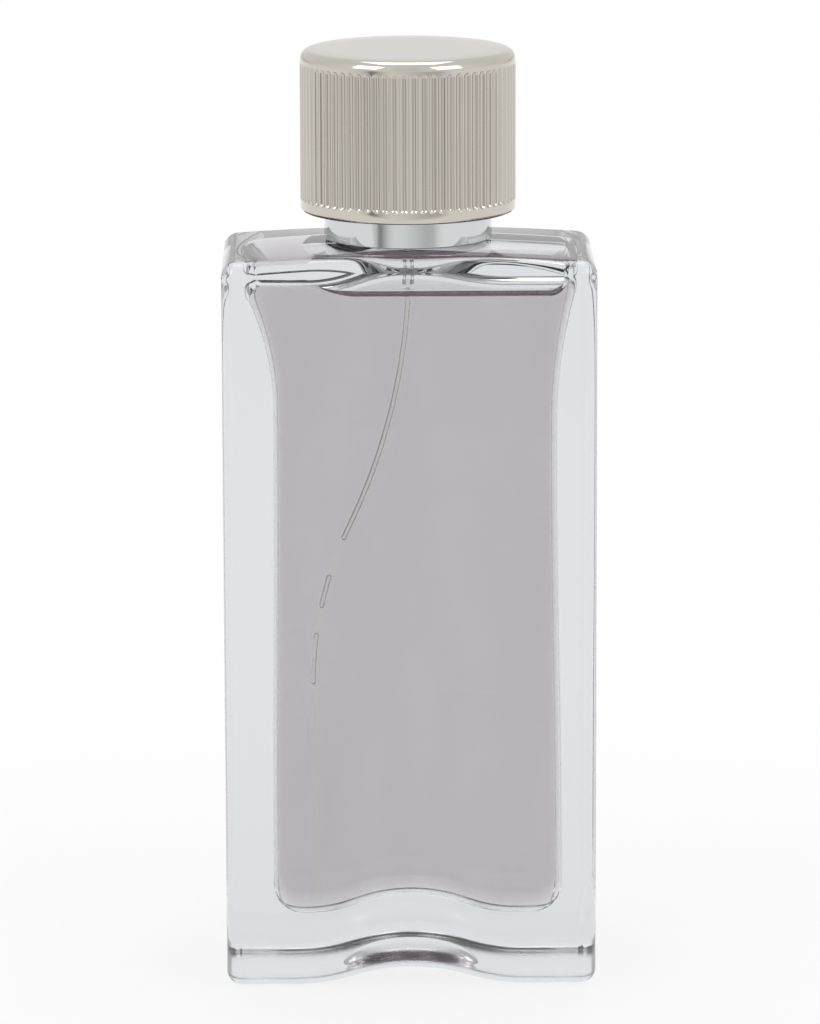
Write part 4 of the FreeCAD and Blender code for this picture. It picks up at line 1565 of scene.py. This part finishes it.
@dataclass(frozen=True)
class CoilSpring:
    """Round-wire spring, in millimetres.

    Args:
        node: CAD node that it stands for.
        body: CAD body that it rides on.
        joint: Joint that shortens it; not used.
        fixed: End that its body holds; not used.
        turns: Number of turns.
        wire: Radius of the wire.
        coil: Radius of the coil at the wire's middle.
        stroke: How much shorter it is at the joint's far limit; not used.
        wire_sides: Corners of the wire's section.
        turn_steps: Number of steps of one turn.
    """

    node: str
    body: str
    joint: str
    fixed: SpringEnd
    turns: int
    wire: float
    coil: float
    stroke: float
    wire_sides: int = 10
    turn_steps: int = 40

    def build(self, finish: Finish, dresser: Dresser) -> None:
        """Builds the spring.

        Args:
            finish: Its finish.
            dresser: Maker of the piece.
        """
        low, high = box_mm(self.node)
        bm = bmesh.new()
        bmesh.ops.create_circle(bm, cap_ends=False, segments=self.wire_sides, radius=self.wire)
        bmesh.ops.rotate(bm, verts=bm.verts[:], cent=(0, 0, 0), matrix=RAISED)
        bmesh.ops.translate(bm, verts=bm.verts[:], vec=(self.coil, 0.0, low.z + self.wire))
        steps = self.turns * self.turn_steps
        rise = high.z - low.z - 2.0 * self.wire
        first = bm.verts[:]
        drawn = bmesh.ops.spin(bm, geom=bm.verts[:] + bm.edges[:], cent=(0, 0, 0), axis=(0, 0, 1),
                               dvec=(0.0, 0.0, rise / steps), angle=FULL_TURN * self.turns, steps=steps)["geom_last"]
        end_capped(bm, first, [item for item in drawn if isinstance(item, BMVert)])
        obj = dresser.piece(self.node + "_coil", bm, self.body, (finish,), self.node, crease=ROUND_CREASE)
        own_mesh(obj)


@dataclass
class Pump:
    """Mist pump and the inside of the cap, whose moulded and metal parts keep their CAD shapes."""

    springs: tuple[CoilSpring, ...] = (
        CoilSpring("return_spring", "bottle", "spray_press", SpringEnd.FOOT, 4, wire=0.15, coil=1.75, stroke=3.0),
        CoilSpring("precompression_spring", "stem", "piston_lift", SpringEnd.HEAD, 2, wire=0.12, coil=1.75, stroke=0.4),
    )

    def dress(self, dresser: Dresser) -> None:
        """Gives the CAD nodes that show their finishes.

        Args:
            dresser: Dresser of the nodes.
        """
        finishes: dict[Finish, tuple[str, ...]] = {
            MouldedFinish("white_moulding", "pump_plastic", (0.83, 0.83, 0.82), 0.38, glow=0.1): (
                "pump_stem", "pump_turret", "actuator_button"),
            MouldedFinish("natural_housing", "pump_plastic", (0.9, 0.9, 0.89), 0.25, clear=0.75): ("pump_housing",),
            MouldedFinish("milky_piston", "piston_plastic", (0.66, 0.68, 0.7), 0.3, glow=0.3): ("piston",),
            MetalFinish("drawn_steel", "spring_steel", (0.5, 0.5, 0.51), 0.16, line_depth=0.02): ("inlet_ball",),
            MouldedFinish("dark_seal", "seal_rubber", (0.012, 0.012, 0.013), 0.6, grain=0.15): ("stem_seal",),
            MouldedFinish("pale_gasket", "gasket_rubber", (0.54, 0.54, 0.53), 0.55, grain=0.12): ("neck_gasket",),
            MetalFinish("drawn_aluminium", "ferrule_aluminium", (0.72, 0.72, 0.73), 0.2, line_depth=0.05): (
                "crimp_ferrule",),
            MouldedFinish("acetal_insert", "insert_plastic", (0.8, 0.8, 0.79), 0.28, glow=0.05): ("spray_insert",),
            MouldedFinish("natural_liner", "liner_plastic", (0.8, 0.8, 0.79), 0.42, glow=0.15): (
                "collar_core", "cap_liner"),
            MetalFinish("turned_steel", "weight_steel", (0.35, 0.35, 0.36), 0.28, line_depth=0.12): ("cap_weight",),
        }
        for finish, nodes in finishes.items():
            for name in nodes:
                dresser.node(name, finish)

    def build(self, dresser: Dresser) -> None:
        """Builds the two springs.

        Args:
            dresser: Maker of the pieces.
        """
        steel = MetalFinish("spring_wire", "spring_steel", (0.5, 0.5, 0.51), 0.18, line_depth=0.02)
        for spring in self.springs:
            spring.build(steel, dresser)


@dataclass(frozen=True)
class Softbox:
    """Square soft lamp, in metres and watts.

    Args:
        name: Name of the lamp.
        place: Where it hangs.
        size: Length of its side.
        power: Its power.
    """

    name: str
    place: Point
    size: float
    power: float

    def hang(self, target: Point) -> None:
        """Hangs the lamp and aims it.

        Args:
            target: Where it shines.
        """
        lamp = bpy.data.lights.new(self.name, "AREA")
        lamp.shape = "SQUARE"
        lamp.size = self.size
        lamp.energy = self.power
        obj = bpy.data.objects.new(self.name, lamp)
        obj.location = self.place
        aim = Vector(target) - obj.location
        obj.rotation_euler = aim.to_track_quat("-Z", "Y").to_euler()
        bpy.context.scene.collection.objects.link(obj)


@dataclass
class Studio:
    """White floor, soft light and camera, in metres."""

    floor_half_side: float = 3.0
    floor_place: Point = (0.0, 2.6, -0.0002)
    floor_cells: int = 8
    floor_tone: Colour = (0.88, 0.88, 0.88)
    floor_roughness: float = 0.9
    floor_gloss: float = 0.1
    shadow_near: float = 0.03
    shadow_far: float = 0.16
    shadow_glow: float = 0.72
    low_ring: Stops = (
        (0.0, 0.9), (0.1, 0.6), (0.16, 0.85), (0.2, 1.0), (0.31, 0.97), (0.36, 0.83), (0.375, 0.7), (0.386, 0.33),
        (0.396, 0.33), (0.41, 0.58), (0.43, 0.83), (0.45, 0.94), (0.49, 0.88), (0.53, 0.74), (0.565, 0.62),
        (0.595, 0.64), (0.615, 0.88), (0.64, 1.0), (0.8, 1.0), (0.84, 0.85), (0.9, 0.6), (1.0, 0.9),
    )
    raised_ring: Stops = (
        (0.0, 0.86), (0.2, 0.86), (0.3, 0.95), (0.44, 0.95), (0.465, 0.85), (0.535, 0.85), (0.56, 0.95),
        (0.7, 0.95), (0.8, 0.86),
    )
    through_ring: Stops = (
        (0.0, 1.0), (0.06, 1.0), (0.08, 0.45), (0.17, 0.45), (0.24, 0.65), (0.4, 0.85), (0.46, 0.85), (0.54, 0.85),
        (0.6, 0.85), (0.76, 0.65), (0.83, 0.45), (0.92, 0.45), (0.94, 1.0),
    )
    raised_span: Place = (0.02, 0.14)
    overhead_span: Place = (0.6, 0.85)
    overhead: float = 0.9
    ambient: float = 0.6
    backdrop: float = 1.0
    lamps: tuple[Softbox, ...] = (
        Softbox("key_softbox", (-0.56, -0.48, 0.62), size=0.42, power=2.0),
        Softbox("fill_softbox", (0.52, -0.5, 0.55), size=0.42, power=1.3),
        Softbox("top_softbox", (0.0, 0.15, 0.9), size=0.5, power=1.6),
    )
    lamp_target: Point = (0.0, 0.0, 0.06)
    camera_place: Point = (-0.00864, -0.8, 0.22583)
    pitch_degrees: float = 11.693
    yaw_degrees: float = -0.628
    roll_degrees: float = -0.18
    lens: float = 220.47
    sensor: float = 36.0

    def build(self) -> None:
        """Builds the studio."""
        self._floor()
        self._world()
        for lamp in self.lamps:
            lamp.hang(self.lamp_target)
        self._camera()

    def _floor(self) -> None:
        """Lays a broad white floor that keeps a soft shadow near the bottle."""
        bm = bmesh.new()
        bmesh.ops.create_grid(bm, x_segments=self.floor_cells, y_segments=self.floor_cells,
                              size=self.floor_half_side * METRE)
        bmesh.ops.translate(bm, verts=bm.verts[:], vec=Vector(self.floor_place) * METRE)
        floor = to_object("studio_floor", bm)
        weave = MaterialWeave("white_floor", self.floor_tone, self.floor_roughness)
        weave.dress(Specular_IOR_Level=self.floor_gloss)
        reach = weave.feed(weave.node("ShaderNodeVectorMath", operation="LENGTH"), i0=weave.here())
        far = weave.ranged(reach.outputs["Value"], self.shadow_near, self.shadow_far, (self.shadow_glow, 1.0))
        path = weave.node("ShaderNodeLightPath").outputs
        straight = weave.math("ADD", path["Is Camera Ray"], path["Is Transmission Ray"])
        seen = weave.math("ADD", straight, path["Is Glossy Ray"], clamp=True)
        glow = weave.add("ShaderNodeEmission", Strength=1.0)
        weave.blend(weave.math("MULTIPLY", far, seen), weave.shader, glow)
        floor.data.materials.append(weave.made)

    def _world(self) -> None:
        """Surrounds the bottle with pale walls, which metal, glass and plain surfaces see in tones of their own."""
        world = bpy.data.worlds.new("soft_studio")
        world.use_nodes = True
        bpy.context.scene.world = world
        weave = Weave(world.node_tree)
        across, deep, up = weave.add("ShaderNodeSeparateXYZ", i0=weave.here("Generated")).outputs
        turn = weave.math("ARCTAN2", across, weave.math("MULTIPLY", deep, -1.0))
        place = weave.ranged(turn, -math.pi, math.pi)
        low, raised, through = (
            self._ring(weave, place, stops) for stops in (self.low_ring, self.raised_ring, self.through_ring)
        )
        overhead, ambient, backdrop = (
            (level, level, level, 1.0) for level in (self.overhead, self.ambient, self.backdrop)
        )
        path = weave.node("ShaderNodeLightPath").outputs
        room = weave.mixed(weave.ranged(up, *self.raised_span), low, raised)
        room = weave.mixed(path["Is Transmission Ray"], room, through)
        room = weave.mixed(weave.ranged(up, *self.overhead_span), room, overhead)
        room = weave.mixed(path["Is Diffuse Ray"], room, ambient)
        room = weave.mixed(path["Is Camera Ray"], room, backdrop)
        weave.feed(world.node_tree.nodes["Background"], Color=room)

    @staticmethod
    def _ring(weave: Weave, place: NodeSocket, stops: Stops) -> NodeSocket:
        """Grey level round the horizon.

        Args:
            weave: Builder of the world.
            place: Direction from 0 to 1, with the front at 0.5.
            stops: Direction and level of each stop.

        Returns:
            The level's colour.
        """
        ramp = weave.add("ShaderNodeValToRGB", i0=place)
        keys = ramp.color_ramp.elements
        while len(keys) < len(stops):
            keys.new(1.0)
        for key, (position, level) in zip(keys, stops):
            key.position = position
            key.color = (level, level, level, 1.0)
        return ramp.outputs[0]

    def _camera(self) -> None:
        """Sets the camera at the photograph's angle."""
        lens = bpy.data.cameras.new("photo_camera")
        lens.lens = self.lens
        lens.sensor_width = self.sensor
        camera = bpy.data.objects.new("photo_camera", lens)
        turn = Matrix.Rotation(math.radians(self.yaw_degrees), 4, "Z")
        turn @= Matrix.Rotation(math.radians(90.0 - self.pitch_degrees), 4, "X")
        turn @= Matrix.Rotation(math.radians(self.roll_degrees), 4, "Z")
        camera.matrix_world = Matrix.Translation(self.camera_place) @ turn
        bpy.context.scene.collection.objects.link(camera)
        bpy.context.scene.camera = camera


def main() -> None:
    logging.basicConfig(level=logging.INFO, format="%(name)s: %(message)s")
    scene = bpy.context.scene
    scene.view_settings.view_transform = "Standard"
    for limit in ("max_bounces", "transmission_bounces", "transparent_max_bounces"):
        setattr(scene.cycles, limit, LIGHT_BOUNCES)
    dresser = Dresser()
    glass, tube, fill = GlassBody(), DipTube(), Fill()
    glass.build(fill.bubble(glass), dresser)
    fill.build(glass, tube, dresser)
    tube.build(fill.line, dresser)
    Collar().build(dresser)
    Cap().build(dresser)
    SprayButton().build(dresser)
    pump = Pump()
    pump.dress(dresser)
    pump.build(dresser)
    for obj in dresser.dressed:
        LOG.info("%s in %s: %d faces", obj.name, obj.data.materials[0].name, len(obj.data.polygons))
    Studio().build()


if __name__ == "__main__":
    main()
